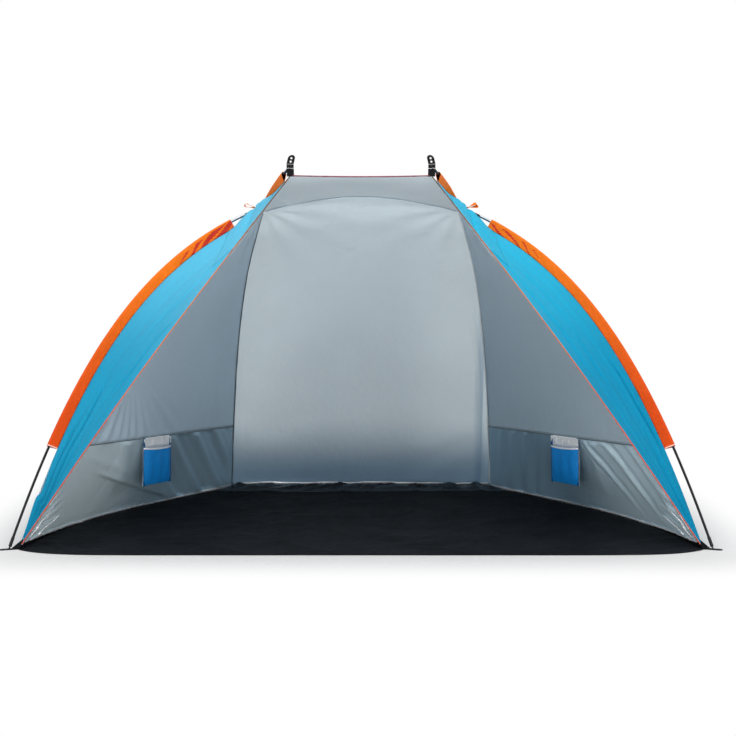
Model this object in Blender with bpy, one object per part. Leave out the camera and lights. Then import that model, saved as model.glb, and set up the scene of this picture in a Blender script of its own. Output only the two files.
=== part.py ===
"""Beach shelter: a fabric half dome on three bent fibreglass poles.

The front pole stands on the two front corners and leans back over the tent. A rear pole rises from
each rear corner, passes under the front pole and ends in a webbing tab above the open front.
Metres, +Z up, +Y towards the rear panel. The origin lies under the middle of the tent's box.
"""

import math

import bmesh
import bpy
import numpy as np

# Front pole: an arch in a plane that leans back by the lean share of its height
HOOP_SPAN = 2.120
HOOP_RISE = 1.240
HOOP_LEAN_SHARE = 0.50
SHOULDER_DRAW = 0.008

# Rear poles, and where they cross the front pole
REAR_FOOT_X = 0.510
REAR_FOOT_Y = 1.217
CROSSING_X = 0.333
TIP_Y = 0.060
TIP_Z = 1.150

# Rods, their glued ferrules and end tips
ROD_RADIUS = 0.0040
CROSSING_GAP = 0.0006
HOOP_SECTIONS = 8
REAR_SECTIONS = 4
HOOP_JOINT_SHIFT = 0.017
SECTION_STEPS = 7
ROD_SIDES = 8
FERRULE_RADIUS = 0.0050
FERRULE_GRIP = 0.023
FERRULE_SOCKET = 0.047
PLUG_CLEARANCE = 0.0004
TIP_CAP_LENGTH = 0.030
TIP_PLUG_DEPTH = 0.024
PIN_RADIUS = 0.0024
PIN_LENGTH = 0.0075
TOE_LIFT = 0.0022

# Fabric, its seams and the ground sheet
FABRIC = 0.0012
SEAM_GAP = 0.0003
SEAM_DROP = 0.028
KNOT_DROP = 0.0165
KNOT_REACH = 0.160
SIDE_BOW = 0.088
SIDE_BOW_SKEW_SHARE = 1.3
FRONT_BOW = 0.083
FRONT_SQUARENESS = 12
FLOOR_MARGIN = 0.0035
WALL_SEAM_REAR = 0.240
WALL_SEAM_FRONT = 0.285
FRONT_EDGE_BOW = 0.020
TOP_EDGE_SAG = 0.003
REAR_PANEL_SAG = 0.014
SIDE_WALL_SAG = 0.010
WING_SAG = 0.006
FOLD_DEPTH = 0.007
FOLD_COUNT = 5
FOLD_SLANT_SHARE = 0.16
WING_START_SHARE = 0.52
WING_END_SHARE = 0.28
WALL_PEAK_SHARE = 0.70

# Grid counts of the panels
LOWER_ROWS = 5
UPPER_ROWS = 14
AWNING_ROWS = 5
WALL_COLUMNS = 12
REAR_COLUMNS = 10
WING_COLUMNS = 3
FRONT_EDGE_COLUMNS = 14

# Piping sewn over the front edges
PIPING_RADIUS = 0.0022
PIPING_SIDES = 6
TOP_PIPING_TRIM = 0.016
SIDE_PIPING_TRIM = 0.012

# Pole sleeves: a loose tube round the rod with a flat tail down to the seam
SLEEVE_BORE = 0.0068
SLEEVE_WALL = 0.0008
SLEEVE_TAIL_WIDTH = 0.0016
SLEEVE_EASE = 0.0007
LONG_SLEEVE_LOW = 0.340
LONG_SLEEVE_HIGH = 0.455
REAR_SLEEVE_LOW = 0.110
REAR_SLEEVE_HIGH = 0.090
SHORT_SLEEVE_LOW = 0.100
SHORT_SLEEVE_HIGH = 0.107

# Webbing tabs
WEB_WIDTH = 0.022
WEB_THICKNESS = 0.0012
HINGE_GAP = 0.0008
TOP_TAB_DROP = 0.031
TOP_TAB_ABOVE = 0.0065
TOP_TAIL_LENGTH = 0.028
TOP_EYELET_PITCH = 0.0105
TOP_TAIL_FIRST_EYELET = 0.0075
EYELET_HOLE = 0.0033
SOCKET_HOLE = 0.0032
GROUND_SOCKET_HOLE = 0.0044
GROUND_TAB_BACK = 0.027
GROUND_TAB_AHEAD = 0.0080
GROUND_TAIL_LENGTH = 0.020
FRONT_TAB_TURN = -20.0
HOLE_SIDES = 10
TAB_ROUND_STEPS = 6

# Hanging pockets
POCKET_PLACE_SHARE = 0.490
POCKET_WIDTH = 0.172
POCKET_HEIGHT = 0.165
POUCH_DROP = 0.033
POUCH_BULGE = 0.017
POUCH_COLUMNS = 8
POUCH_ROWS = 6
POUCH_EDGE = 0.0030

# Tape ties at the crossings
TIE_PLACE = 0.016
TIE_WIDTH = 0.008
TIE_TAPE = 0.0010
TIE_CLEARANCE = 0.0007
TIE_LOOP_LENGTH = 0.040
TIE_LOOP_HEIGHT = 0.013
TIE_ROUND_STEPS = 10
TIE_SIDES = 12

# Shares used by the curves
ARCH_STEP_SHARE = 0.004
FLATTEST_PEAK_SHARE = 0.05
STEEPEST_PEAK_SHARE = 1.75
SEARCH_STEPS = 40
CROSSING_PASSES = 5
TANGENT_STEP = 0.004
DENSE_COUNT = 400

UP = np.array([0.0, 0.0, 1.0])
RIGHT, LEFT = 1, -1
SIDE_NAMES = {RIGHT: "right", LEFT: "left"}
WALL_BASE = FABRIC + SEAM_GAP

COLOURS = {
    "fibreglass": ((0.012, 0.012, 0.014), 0.35, 0.0),
    "ferrule_metal": ((0.62, 0.63, 0.65), 0.30, 1.0),
    "blue_fabric": ((0.010, 0.300, 0.560), 0.55, 0.0),
    "silver_fabric": ((0.330, 0.380, 0.410), 0.45, 0.0),
    "orange_fabric": ((0.850, 0.130, 0.010), 0.60, 0.0),
    "maroon_piping": ((0.140, 0.018, 0.030), 0.60, 0.0),
    "ground_sheet": ((0.010, 0.011, 0.013), 0.35, 0.0),
    "webbing": ((0.010, 0.010, 0.011), 0.70, 0.0),
}


def unit(vector):
    return vector / np.linalg.norm(vector)


def unit_arch(peak):
    """A bent rod with its two ends held: it curves in proportion to its height above its chord.

    The points run from one end at -1 to the other at +1, so heights are shares of the half chord.
    """
    across, height, turn = 0.0, peak, 0.0
    points = [(across, height)]
    while height > 0.0:
        last_height = height
        turn += height * ARCH_STEP_SHARE
        across += math.cos(turn) * ARCH_STEP_SHARE
        height -= math.sin(turn) * ARCH_STEP_SHARE
        points.append((across, height))
    back = height / (height - last_height)
    end_across = across - back * math.cos(turn) * ARCH_STEP_SHARE
    points[-1] = (end_across, 0.0)
    half = np.array(points) / end_across
    mirrored = half[::-1] * np.array([-1.0, 1.0])
    return np.vstack([mirrored, half[1:]])


def search_peak(is_too_low):
    """The arch for which the test changes, found by halving."""
    low, high = FLATTEST_PEAK_SHARE, STEEPEST_PEAK_SHARE
    for _ in range(SEARCH_STEPS):
        middle = (low + high) / 2
        if is_too_low(unit_arch(middle)):
            low = middle
        else:
            high = middle
    return unit_arch(middle)


class Path:
    """A dense line through space, asked for points by the length along it."""

    def __init__(self, points, plane):
        self.points = np.array(points)
        self.plane = plane
        lengths = np.linalg.norm(np.diff(self.points, axis=0), axis=1)
        self.reach = np.concatenate([[0.0], np.cumsum(lengths)])
        self.length = self.reach[-1]

    def point(self, distance):
        return np.array([np.interp(distance, self.reach, self.points[:, axis]) for axis in range(3)])

    def tangent(self, distance):
        ahead = self.point(min(distance + TANGENT_STEP, self.length))
        behind = self.point(max(distance - TANGENT_STEP, 0.0))
        return unit(ahead - behind)

    def inward(self, distance):
        """Square to the line, in its plane, towards its chord."""
        return unit(np.cross(self.tangent(distance), self.plane))

    def length_at_height(self, height):
        """Where the line, followed from its foot, first reaches a height."""
        index = int(np.argmax(self.points[:, 2] >= height))
        below, above = self.points[index - 1, 2], self.points[index, 2]
        share = (height - below) / (above - below)
        return self.reach[index - 1] + share * (self.reach[index] - self.reach[index - 1])

    def reversed(self):
        return Path(self.points[::-1], -self.plane)


def front_pole():
    """The arch from the right foot to the left foot."""
    def too_low(arch):
        return arch[:, 1].max() < HOOP_RISE / (HOOP_SPAN / 2)
    arch = search_peak(too_low) * HOOP_SPAN / 2
    upright = 1.0 / math.sqrt(1.0 + HOOP_LEAN_SHARE ** 2)
    height_share = arch[:, 1] / arch[:, 1].max()
    draw = SHOULDER_DRAW * np.sin(np.pi * height_share) ** 2 * np.sign(arch[:, 0])
    points = np.stack([arch[:, 0] - draw,
                       arch[:, 1] * upright * HOOP_LEAN_SHARE,
                       arch[:, 1] * upright], axis=1)
    plane = np.array([0.0, upright, -upright * HOOP_LEAN_SHARE])
    return Path(points[::-1], plane)


def rear_pole(hoop, crossing):
    """The right rear pole: from its foot, under the front pole, to the tip in the top tab."""
    foot = np.array([REAR_FOOT_X, REAR_FOOT_Y, 0.0])
    on_hoop = hoop.point(crossing)
    drop = hoop.inward(crossing)
    for _ in range(CROSSING_PASSES):
        under = on_hoop + drop * (2.0 * ROD_RADIUS + CROSSING_GAP)
        heading = unit((under - foot) * np.array([1.0, 1.0, 0.0]))
        run = (TIP_Y - REAR_FOOT_Y) / heading[1]
        chord = math.hypot(run, TIP_Z)
        along_chord = np.array([run, TIP_Z]) / chord
        off_chord = np.array([-TIP_Z, run]) / chord
        seen = np.array([np.dot(under - foot, heading), under[2]])
        place = np.dot(seen, along_chord) / (chord / 2) - 1.0
        lift = np.dot(seen, off_chord) / (chord / 2)

        def too_low(arch):
            return np.interp(place, arch[:, 0], arch[:, 1]) < lift
        arch = search_peak(too_low)
        flat = ((arch[:, :1] + 1.0) * along_chord + arch[:, 1:] * off_chord) * (chord / 2)
        points = foot + flat[:, :1] * heading + flat[:, 1:] * UP
        pole = Path(points, np.array([heading[1], -heading[0], 0.0]))
        nearest = int(np.argmin(np.linalg.norm(pole.points - under, axis=1)))
        meeting = pole.reach[nearest]
        square = unit(np.cross(hoop.tangent(crossing), pole.tangent(meeting)))
        drop = square if np.dot(square, hoop.inward(crossing)) > 0 else -square
    return pole, meeting, drop


def seam_line(pole, crossings, depth_at_crossing):
    """The fabric's seam beside a pole: the seam drop inside it, and drawn together at a crossing.

    A crossing is its place along the pole, the way to the seam there, and how far beyond it the
    seam is back at the seam drop.
    """
    points = []
    for distance in np.linspace(0.0, pole.length, DENSE_COUNT + 1):
        offset = pole.inward(distance) * SEAM_DROP
        for meeting, direction, reach_beyond in crossings:
            reach = reach_beyond if distance > meeting else KNOT_REACH
            nearness = max(0.0, 1.0 - abs(distance - meeting) / reach)
            weight = nearness * nearness * (3.0 - 2.0 * nearness)
            offset = offset * (1.0 - weight) + direction * depth_at_crossing * weight
        points.append(pole.point(distance) + offset)
    return Path(points, pole.plane)


def shares_of(points):
    lengths = np.linalg.norm(np.diff(points, axis=0), axis=1)
    reach = np.concatenate([[0.0], np.cumsum(lengths)])
    return reach / reach[-1]


def coons(bottom, top, left, right):
    """A surface through four edges, as rows from bottom to top and columns from left to right."""
    v = shares_of(left)[:, None, None]
    u = shares_of(bottom)[None, :, None]
    rising = (1 - v) * bottom[None] + v * top[None]
    across = (1 - u) * left[:, None] + u * right[:, None]
    corners = (1 - v) * ((1 - u) * bottom[0] + u * bottom[-1]) + v * ((1 - u) * top[0] + u * top[-1])
    return rising + across - corners


def ruled(left, right, columns):
    u = np.linspace(0.0, 1.0, columns + 1)[None, :, None]
    return (1 - u) * left[:, None] + u * right[:, None]


def hump(shares):
    """Zero at both ends and one in the middle."""
    return np.sin(np.pi * shares)


def grid_normals(grid, outside_of):
    rows = np.gradient(grid, axis=0)
    columns = np.gradient(grid, axis=1)
    normals = np.cross(columns, rows)
    normals /= np.linalg.norm(normals, axis=2, keepdims=True)
    facing = np.einsum("ijk,ijk->", normals, grid - outside_of)
    return normals if facing > 0 else -normals


def push(grid, depth, outside_of):
    """Move a grid along its own outward normals by a depth for each point."""
    return grid + grid_normals(grid, outside_of) * depth[:, :, None]


def seam_inset(normals_a, normals_b):
    """How far two sheets stop short of their seam so that their solids meet with the seam gap."""
    cosine = np.clip(np.einsum("ij,ij->i", normals_a, normals_b), -0.8, 1.0)
    fold = np.arccos(cosine)
    return FABRIC / 2 * np.tan(fold / 2) + SEAM_GAP / 2 + SEAM_GAP / 4


def inset_grid(grid, left, right, bottom, top):
    """Draw the edges of a grid in along its surface, each by its own distances."""
    rows, columns = grid.shape[:2]
    left, right = np.broadcast_to(left, rows), np.broadcast_to(right, rows)
    bottom, top = np.broadcast_to(bottom, columns), np.broadcast_to(top, columns)
    normals = grid_normals(grid, grid.mean(axis=(0, 1)) - UP)
    row_way = np.gradient(grid, axis=0)
    column_way = np.gradient(grid, axis=1)

    def into(tangent, normal, towards):
        square = unit(np.cross(tangent, normal))
        return square if np.dot(square, towards) > 0 else -square

    drawn = grid.copy()
    for i in range(rows):
        for j in (0, columns - 1):
            towards = column_way[i, j] * (1 if j == 0 else -1)
            way = into(row_way[i, j], normals[i, j], towards)
            drawn[i, j] = grid[i, j] + way * (left[i] if j == 0 else right[i])
    for j in range(columns):
        for i in (0, rows - 1):
            towards = row_way[i, j] * (1 if i == 0 else -1)
            way = into(column_way[i, j], normals[i, j], towards)
            depth = bottom[j] if i == 0 else top[j]
            if j not in (0, columns - 1):
                drawn[i, j] = grid[i, j] + way * depth
                continue
            side_towards = column_way[i, j] * (1 if j == 0 else -1)
            side_way = into(row_way[i, j], normals[i, j], side_towards)
            side_depth = left[i] if j == 0 else right[i]
            lap = float(np.dot(way, side_way))
            along = (depth - lap * side_depth) / (1 - lap * lap)
            aside = (side_depth - lap * depth) / (1 - lap * lap)
            drawn[i, j] = grid[i, j] + way * along + side_way * aside
    return drawn


class Workshop:
    """Makes the named objects under one empty and keeps their materials."""

    def __init__(self):
        for old in list(bpy.data.objects):
            bpy.data.objects.remove(old)
        self.frame = bpy.data.objects.new("tent_frame", None)
        bpy.context.scene.collection.objects.link(self.frame)
        self.materials = {name: self.material(name, *look) for name, look in COLOURS.items()}
        self.made = []

    def material(self, name, colour, roughness, metallic):
        material = bpy.data.materials.new(name)
        material.use_nodes = True
        shader = material.node_tree.nodes["Principled BSDF"]
        shader.inputs["Base Color"].default_value = (*colour, 1.0)
        shader.inputs["Roughness"].default_value = roughness
        shader.inputs["Metallic"].default_value = metallic
        return material

    def add(self, name, vertices, faces, material, pivot=None, smooth=True):
        pivot = np.zeros(3) if pivot is None else np.array(pivot)
        shape = bmesh.new()
        placed = [shape.verts.new(tuple(point)) for point in np.array(vertices) - pivot]
        for face in faces:
            shape.faces.new([placed[index] for index in face])
        bmesh.ops.recalc_face_normals(shape, faces=shape.faces)
        mesh = bpy.data.meshes.new(name)
        shape.to_mesh(mesh)
        shape.free()
        if smooth:
            mesh.shade_smooth()
            mesh.set_sharp_from_angle(angle=math.radians(40.0))
        mesh.materials.append(self.materials[material])
        item = bpy.data.objects.new(name, mesh)
        item.location = tuple(pivot)
        item.parent = self.frame
        bpy.context.scene.collection.objects.link(item)
        self.made.append(item)
        return item

    def centre(self):
        """Put the origin under the middle of everything that was made."""
        reach = np.concatenate([[tuple(item.location + vertex.co) for vertex in item.data.vertices]
                                for item in self.made])
        low, high = reach.min(axis=0), reach.max(axis=0)
        self.frame.location = (-(low[0] + high[0]) / 2, -(low[1] + high[1]) / 2, -low[2])


def mirrored(points, side):
    return np.array(points) * np.array([side, 1.0, 1.0])


def shell(shop, name, grid, material, side, outside_of, pivot=None):
    """A sheet of fabric as a thin closed solid. Both faces split each cell along the same line."""
    rows, columns = grid.shape[:2]
    lift = grid_normals(grid, outside_of) * FABRIC / 2
    vertices = np.concatenate([(grid + lift).reshape(-1, 3), (grid - lift).reshape(-1, 3)])
    count = rows * columns

    def spot(i, j, layer):
        return layer * count + i * columns + j

    faces = []
    for i in range(rows - 1):
        for j in range(columns - 1):
            ring = [(i, j), (i, j + 1), (i + 1, j + 1), (i + 1, j)]
            for half in (ring[:3], [ring[0], *ring[2:]]):
                faces.append([spot(*corner, 0) for corner in half])
                faces.append([spot(*corner, 1) for corner in reversed(half)])
    rim = [(0, j) for j in range(columns)] + [(i, columns - 1) for i in range(1, rows)]
    rim += [(rows - 1, j) for j in range(columns - 2, -1, -1)] + [(i, 0) for i in range(rows - 2, 0, -1)]
    for here, after in zip(rim, rim[1:] + rim[:1]):
        faces.append([spot(*here, 0), spot(*after, 0), spot(*after, 1), spot(*here, 1)])
    return shop.add(name, mirrored(vertices, side), faces, material, pivot)


def turned(shop, name, path, profile, sides, material, side):
    """A round bar or tube along a path, from rings of (distance, radius) between two end caps."""
    vertices = []
    for distance, radius in profile:
        inward = path.inward(distance)
        across = unit(path.plane)
        for step in range(sides):
            angle = 2 * math.pi * (step + 1 / 2) / sides
            ring_point = inward * math.cos(angle) + across * math.sin(angle)
            vertices.append(path.point(distance) + ring_point * radius)
    faces = []
    for ring in range(len(profile) - 1):
        for step in range(sides):
            after = (step + 1) % sides
            faces.append([ring * sides + step, ring * sides + after,
                          (ring + 1) * sides + after, (ring + 1) * sides + step])
    faces.append(list(range(sides)))
    faces.append([(len(profile) - 1) * sides + step for step in range(sides)])
    return shop.add(name, mirrored(vertices, side), faces, material)


def pole_sections(shop, name, path, count, side, crossings, joint_shift=0.0):
    """The rods of one pole. Each but the last carries a glued ferrule, and the next plugs into it."""
    start = TOE_LIFT + PIN_LENGTH + TIP_CAP_LENGTH - TIP_PLUG_DEPTH + SEAM_GAP
    end = path.length - start
    joints = np.linspace(0.0, path.length, count + 1) - joint_shift
    bore = (ROD_RADIUS + PLUG_CLEARANCE)
    for index in range(count):
        low = start if index == 0 else joints[index] + SEAM_GAP
        high = end if index == count - 1 else joints[index + 1]
        grip_start = high - FERRULE_GRIP
        stops = list(np.linspace(low, high, SECTION_STEPS + 1)[1:-1])
        stops += [d for d in crossings if low < d < high]
        if index > 0:
            stops.append(joints[index] + FERRULE_SOCKET)
        profile = [(low, ROD_RADIUS)]
        if index < count - 1:
            stops = [d for d in stops if d < grip_start - FERRULE_RADIUS]
            profile += [(d, ROD_RADIUS) for d in sorted(stops)]
            profile += [(grip_start, ROD_RADIUS), (grip_start, FERRULE_RADIUS),
                        (high + FERRULE_SOCKET, FERRULE_RADIUS),
                        (high + FERRULE_SOCKET, bore), (high, bore)]
        else:
            profile += [(d, ROD_RADIUS) for d in sorted(stops)] + [(high, ROD_RADIUS)]
        turned(shop, f"{name}_section_{index + 1}", path, profile, ROD_SIDES, "fibreglass", side)


def pole_tip(shop, name, path, side):
    """The metal tip at a path's start: a pin, a shoulder and a cap over the rod's end."""
    shoulder = TOE_LIFT + PIN_LENGTH
    bore = ROD_RADIUS + PLUG_CLEARANCE
    profile = [(TOE_LIFT, PIN_RADIUS), (shoulder, PIN_RADIUS), (shoulder, FERRULE_RADIUS),
               (shoulder + TIP_CAP_LENGTH, FERRULE_RADIUS), (shoulder + TIP_CAP_LENGTH, bore),
               (shoulder + TIP_CAP_LENGTH - TIP_PLUG_DEPTH, bore)]
    turned(shop, name, path, profile, ROD_SIDES, "ferrule_metal", side)


def sleeve(shop, name, path, seam, low, high, side):
    """A pole sleeve: open at both ends, loose round the rod, its tail sewn into the seam."""
    seam_points, seam_places = seam
    outer_radius = SLEEVE_BORE + SLEEVE_WALL
    root = math.degrees(math.asin(SLEEVE_TAIL_WIDTH / 2 / outer_radius))
    arc = np.linspace(-150.0, 150.0, 7)
    outer = [(outer_radius, a) for a in (-180.0 + root, *arc, 180.0 - root)]
    inner = [(SLEEVE_BORE, a) for a in (-175.0, -163.0, *arc, 163.0, 175.0)]
    count = len(inner)
    stops = [low] + [d for d in seam_places if low + SEAM_DROP / 2 < d < high - SEAM_DROP / 2] + [high]
    steps = len(stops) - 1
    vertices = []
    for distance in stops:
        inward, across, centre = path.inward(distance), unit(path.plane), path.point(distance)
        seam_point = [np.interp(distance, seam_places, seam_points[:, axis]) for axis in range(3)]
        tail = np.array(seam_point) - inward * (FABRIC / 2 + SEAM_GAP + SLEEVE_EASE)
        round_points = []
        for radius, angle in outer + inner:
            turn = math.radians(angle)
            round_points.append(centre + (across * math.sin(turn) - inward * math.cos(turn)) * radius)
        vertices.append(tail - across * SLEEVE_TAIL_WIDTH / 2)
        vertices += round_points[:len(outer)]
        vertices.append(tail + across * SLEEVE_TAIL_WIDTH / 2)
        vertices += round_points[len(outer):]
    faces = []
    for ring in range(steps):
        here, after = ring * 2 * count, (ring + 1) * 2 * count
        for layer in (0, count):
            for step in range(count):
                turn = (step + 1) % count
                faces.append([here + layer + step, here + layer + turn,
                              after + layer + turn, after + layer + step])
    for ring in (0, steps):
        here = ring * 2 * count
        for step in range(count):
            turn = (step + 1) % count
            faces.append([here + step, here + turn, here + count + turn, here + count + step])
    shop.add(name, mirrored(vertices, side), faces, "orange_fabric")


def plate(shop, name, outline, holes, origin, x_way, y_way, thickness, material, side, pivot=None):
    """A flat strap: an outline with round holes, given its thickness on one side of its plane."""
    normal = np.cross(x_way, y_way)
    shape = bmesh.new()

    def loop(points):
        ring = [shape.verts.new(tuple(origin + x_way * x + y_way * y)) for x, y in points]
        return [shape.edges.new((a, b)) for a, b in zip(ring, ring[1:] + ring[:1])]

    edges = loop(outline)
    for x, y, radius in holes:
        turn = 2 * math.pi / HOLE_SIDES
        edges += loop([(x + radius * math.cos(turn * step), y + radius * math.sin(turn * step))
                       for step in range(HOLE_SIDES)])
    bmesh.ops.triangle_fill(shape, edges=edges, use_beauty=True, use_dissolve=False)
    grown = bmesh.ops.extrude_face_region(shape, geom=list(shape.faces))
    moved = [item for item in grown["geom"] if isinstance(item, bmesh.types.BMVert)]
    bmesh.ops.translate(shape, verts=moved, vec=tuple(normal * thickness))
    shape.verts.index_update()
    vertices = [tuple(vertex.co) for vertex in shape.verts]
    faces = [[vertex.index for vertex in face.verts] for face in shape.faces]
    shape.free()
    return shop.add(name, mirrored(vertices, side), faces, material, pivot, smooth=False)


def strap_outline(start, end, width, rounded):
    """A strap along y from start to end. A rounded end is a half circle."""
    half = width / 2
    outline = [(-half, start), (half, start)]
    if not rounded:
        return outline + [(half, end), (-half, end)]
    centre = end - half
    for step in range(TAB_ROUND_STEPS + 1):
        angle = math.pi * step / TAB_ROUND_STEPS
        outline.append((half * math.cos(angle), centre + half * math.sin(angle)))
    return outline


def top_tab(shop, pole, side):
    """The webbing above a top corner: sewn part with the pole's eyelet, and the free tail."""
    word = SIDE_NAMES[side]
    tip = pole.length - TOE_LIFT - PIN_LENGTH
    ahead = pole.tangent(tip)
    rise = -pole.inward(tip)
    across = np.cross(rise, ahead)
    origin = pole.point(tip) + ahead * SEAM_GAP
    outline = strap_outline(-TOP_TAB_DROP, TOP_TAB_ABOVE, WEB_WIDTH, False)
    plate(shop, f"top_tab_{word}", outline, [(0.0, 0.0, SOCKET_HOLE)], origin, across, rise,
          WEB_THICKNESS * facing_sign(across, rise, ahead), "webbing", side)
    tail_start = TOP_TAB_ABOVE + HINGE_GAP
    tail_end = tail_start + TOP_TAIL_LENGTH
    holes = [(0.0, tail_start + TOP_TAIL_FIRST_EYELET + TOP_EYELET_PITCH * step, EYELET_HOLE)
             for step in range(2)]
    hinge = origin + rise * (TOP_TAB_ABOVE + HINGE_GAP / 2) + ahead * WEB_THICKNESS / 2
    plate(shop, f"top_tab_tail_{word}", strap_outline(tail_start, tail_end, WEB_WIDTH, True), holes,
          origin, across, rise, WEB_THICKNESS * facing_sign(across, rise, ahead), "webbing", side,
          mirrored(hinge, side))


def facing_sign(x_way, y_way, wanted):
    return 1.0 if np.dot(np.cross(x_way, y_way), wanted) > 0 else -1.0


def front_tab_way():
    turn = math.radians(FRONT_TAB_TURN)
    return np.array([math.cos(turn), math.sin(turn), 0.0])


def ground_tab(shop, name, eyelet, way, with_tail, side):
    """The webbing at a ground corner: under the pole's pin, with a peg eyelet further out."""
    word = SIDE_NAMES[side]
    across = np.cross(way, UP)
    reach = GROUND_TAB_AHEAD if with_tail else GROUND_TAB_AHEAD + GROUND_TAIL_LENGTH
    holes = [(0.0, 0.0, GROUND_SOCKET_HOLE)]
    peg = GROUND_TAB_AHEAD + HINGE_GAP + GROUND_TAIL_LENGTH - WEB_WIDTH / 2
    if not with_tail:
        holes.append((0.0, peg, EYELET_HOLE))
    outline = strap_outline(-GROUND_TAB_BACK, reach, WEB_WIDTH, not with_tail)
    plate(shop, f"{name}_{word}", outline, holes, eyelet, across, way, WEB_THICKNESS,
          "webbing", side)
    if with_tail:
        start = GROUND_TAB_AHEAD + HINGE_GAP
        hinge = eyelet + way * (GROUND_TAB_AHEAD + HINGE_GAP / 2) + UP * WEB_THICKNESS
        plate(shop, f"{name}_tail_{word}", strap_outline(start, start + GROUND_TAIL_LENGTH,
                                                         WEB_WIDTH, True),
              [(0.0, peg, EYELET_HOLE)], eyelet, across, way, WEB_THICKNESS, "webbing", side,
              mirrored(hinge, side))


def clipped(outline, through, way):
    """The part of a closed plan outline that lies behind a line square to a direction."""
    kept = []
    for here, after in zip(outline, outline[1:] + outline[:1]):
        depth_here = float(np.dot(np.array(here) - through, way))
        depth_after = float(np.dot(np.array(after) - through, way))
        if depth_here <= 0.0:
            kept.append(here)
        if depth_here * depth_after < 0.0:
            share = depth_here / (depth_here - depth_after)
            kept.append(tuple(np.array(here) + share * (np.array(after) - np.array(here))))
    return kept


def ground_eyelets(hoop, pole):
    """Where the front and rear pins stand on the ground, and the way each tab points."""
    places = []
    for path, way in ((hoop, front_tab_way()), (pole, unit(-pole.inward(0.0) * (1.0, 1.0, 0.0)))):
        pin = path.point(TOE_LIFT)
        places.append((np.array([pin[0], pin[1], 0.0]), way))
    return places


def ground_sheet(shop, wall_foot, eyelets):
    """The flat sheet under the tent: it reaches a margin past the walls and is cut for the tabs."""
    outward = []
    for index in range(len(wall_foot)):
        before, after = wall_foot[max(index - 1, 0)], wall_foot[min(index + 1, len(wall_foot) - 1)]
        run = unit((after - before)[:2])
        outward.append(np.array([-run[1], run[0]]))
    right = [tuple(point[:2] + way * FLOOR_MARGIN) for point, way in zip(wall_foot, outward)]
    rear = (wall_foot[0][0], wall_foot[0][1] + FLOOR_MARGIN)
    corner_x, corner_y = right[-1]
    front = []
    for share in 1.0 - np.linspace(0.0, 1.0, FRONT_EDGE_COLUMNS // 2 + 1) ** 2:
        bow = FRONT_BOW * (1.0 - share ** FRONT_SQUARENESS)
        front.append((corner_x * share, corner_y - FLOOR_MARGIN - bow))
    half = [(0.0, rear[1]), rear] + right + front
    outline = half + [(-x, y) for x, y in reversed(half[1:-1])]
    for eyelet, way in eyelets:
        for side in (RIGHT, LEFT):
            flat_way = mirrored(way, side)[:2]
            edge = mirrored(eyelet, side)[:2] - flat_way * (GROUND_TAB_BACK + SEAM_GAP)
            outline = clipped(outline, edge, flat_way)
    plate(shop, "ground_sheet", outline, [], np.zeros(3), np.array([1.0, 0.0, 0.0]),
          np.array([0.0, 1.0, 0.0]), FABRIC, "ground_sheet", RIGHT)


def pocket(shop, seam_start, seam_end, side):
    """A pocket that hangs from the wall seam: a flat back and a pouch with an open mouth."""
    word = SIDE_NAMES[side]
    along = unit(seam_end - seam_start)
    down = unit(-UP + along * np.dot(UP, along))
    inward = np.cross(along, down)
    if inward[0] > 0:
        inward = -inward
    hang = seam_start + (seam_end - seam_start) * POCKET_PLACE_SHARE
    hinge = hang + inward * (FABRIC + 2 * SEAM_GAP) + down * 2 * SEAM_GAP
    half = POCKET_WIDTH / 2
    outline = [(-half, 0.0), (half, 0.0), (half, POCKET_HEIGHT), (-half, POCKET_HEIGHT)]
    pivot = mirrored(hinge, side)
    sign = facing_sign(along, down, inward)
    plate(shop, f"pocket_back_{word}", outline, [], hinge - inward * FABRIC / 2, along, down,
          FABRIC * sign, "silver_fabric", side, pivot)
    u = np.linspace(-1.0, 1.0, POUCH_COLUMNS + 1)[None, :]
    v = np.linspace(0.0, 1.0, POUCH_ROWS + 1)[:, None]
    depth = POUCH_BULGE * (1.0 - u ** 4) * (1.0 - v ** 3) + FABRIC + SEAM_GAP
    width = half - POUCH_EDGE
    height = POCKET_HEIGHT - POUCH_DROP - POUCH_EDGE
    grid = (hinge + along * (u * width)[:, :, None] + down * (POUCH_DROP + v * height)[:, :, None]
            + inward * depth[:, :, None])
    shell(shop, f"pocket_pouch_{word}", grid, "blue_fabric", side, hinge, pivot)


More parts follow.
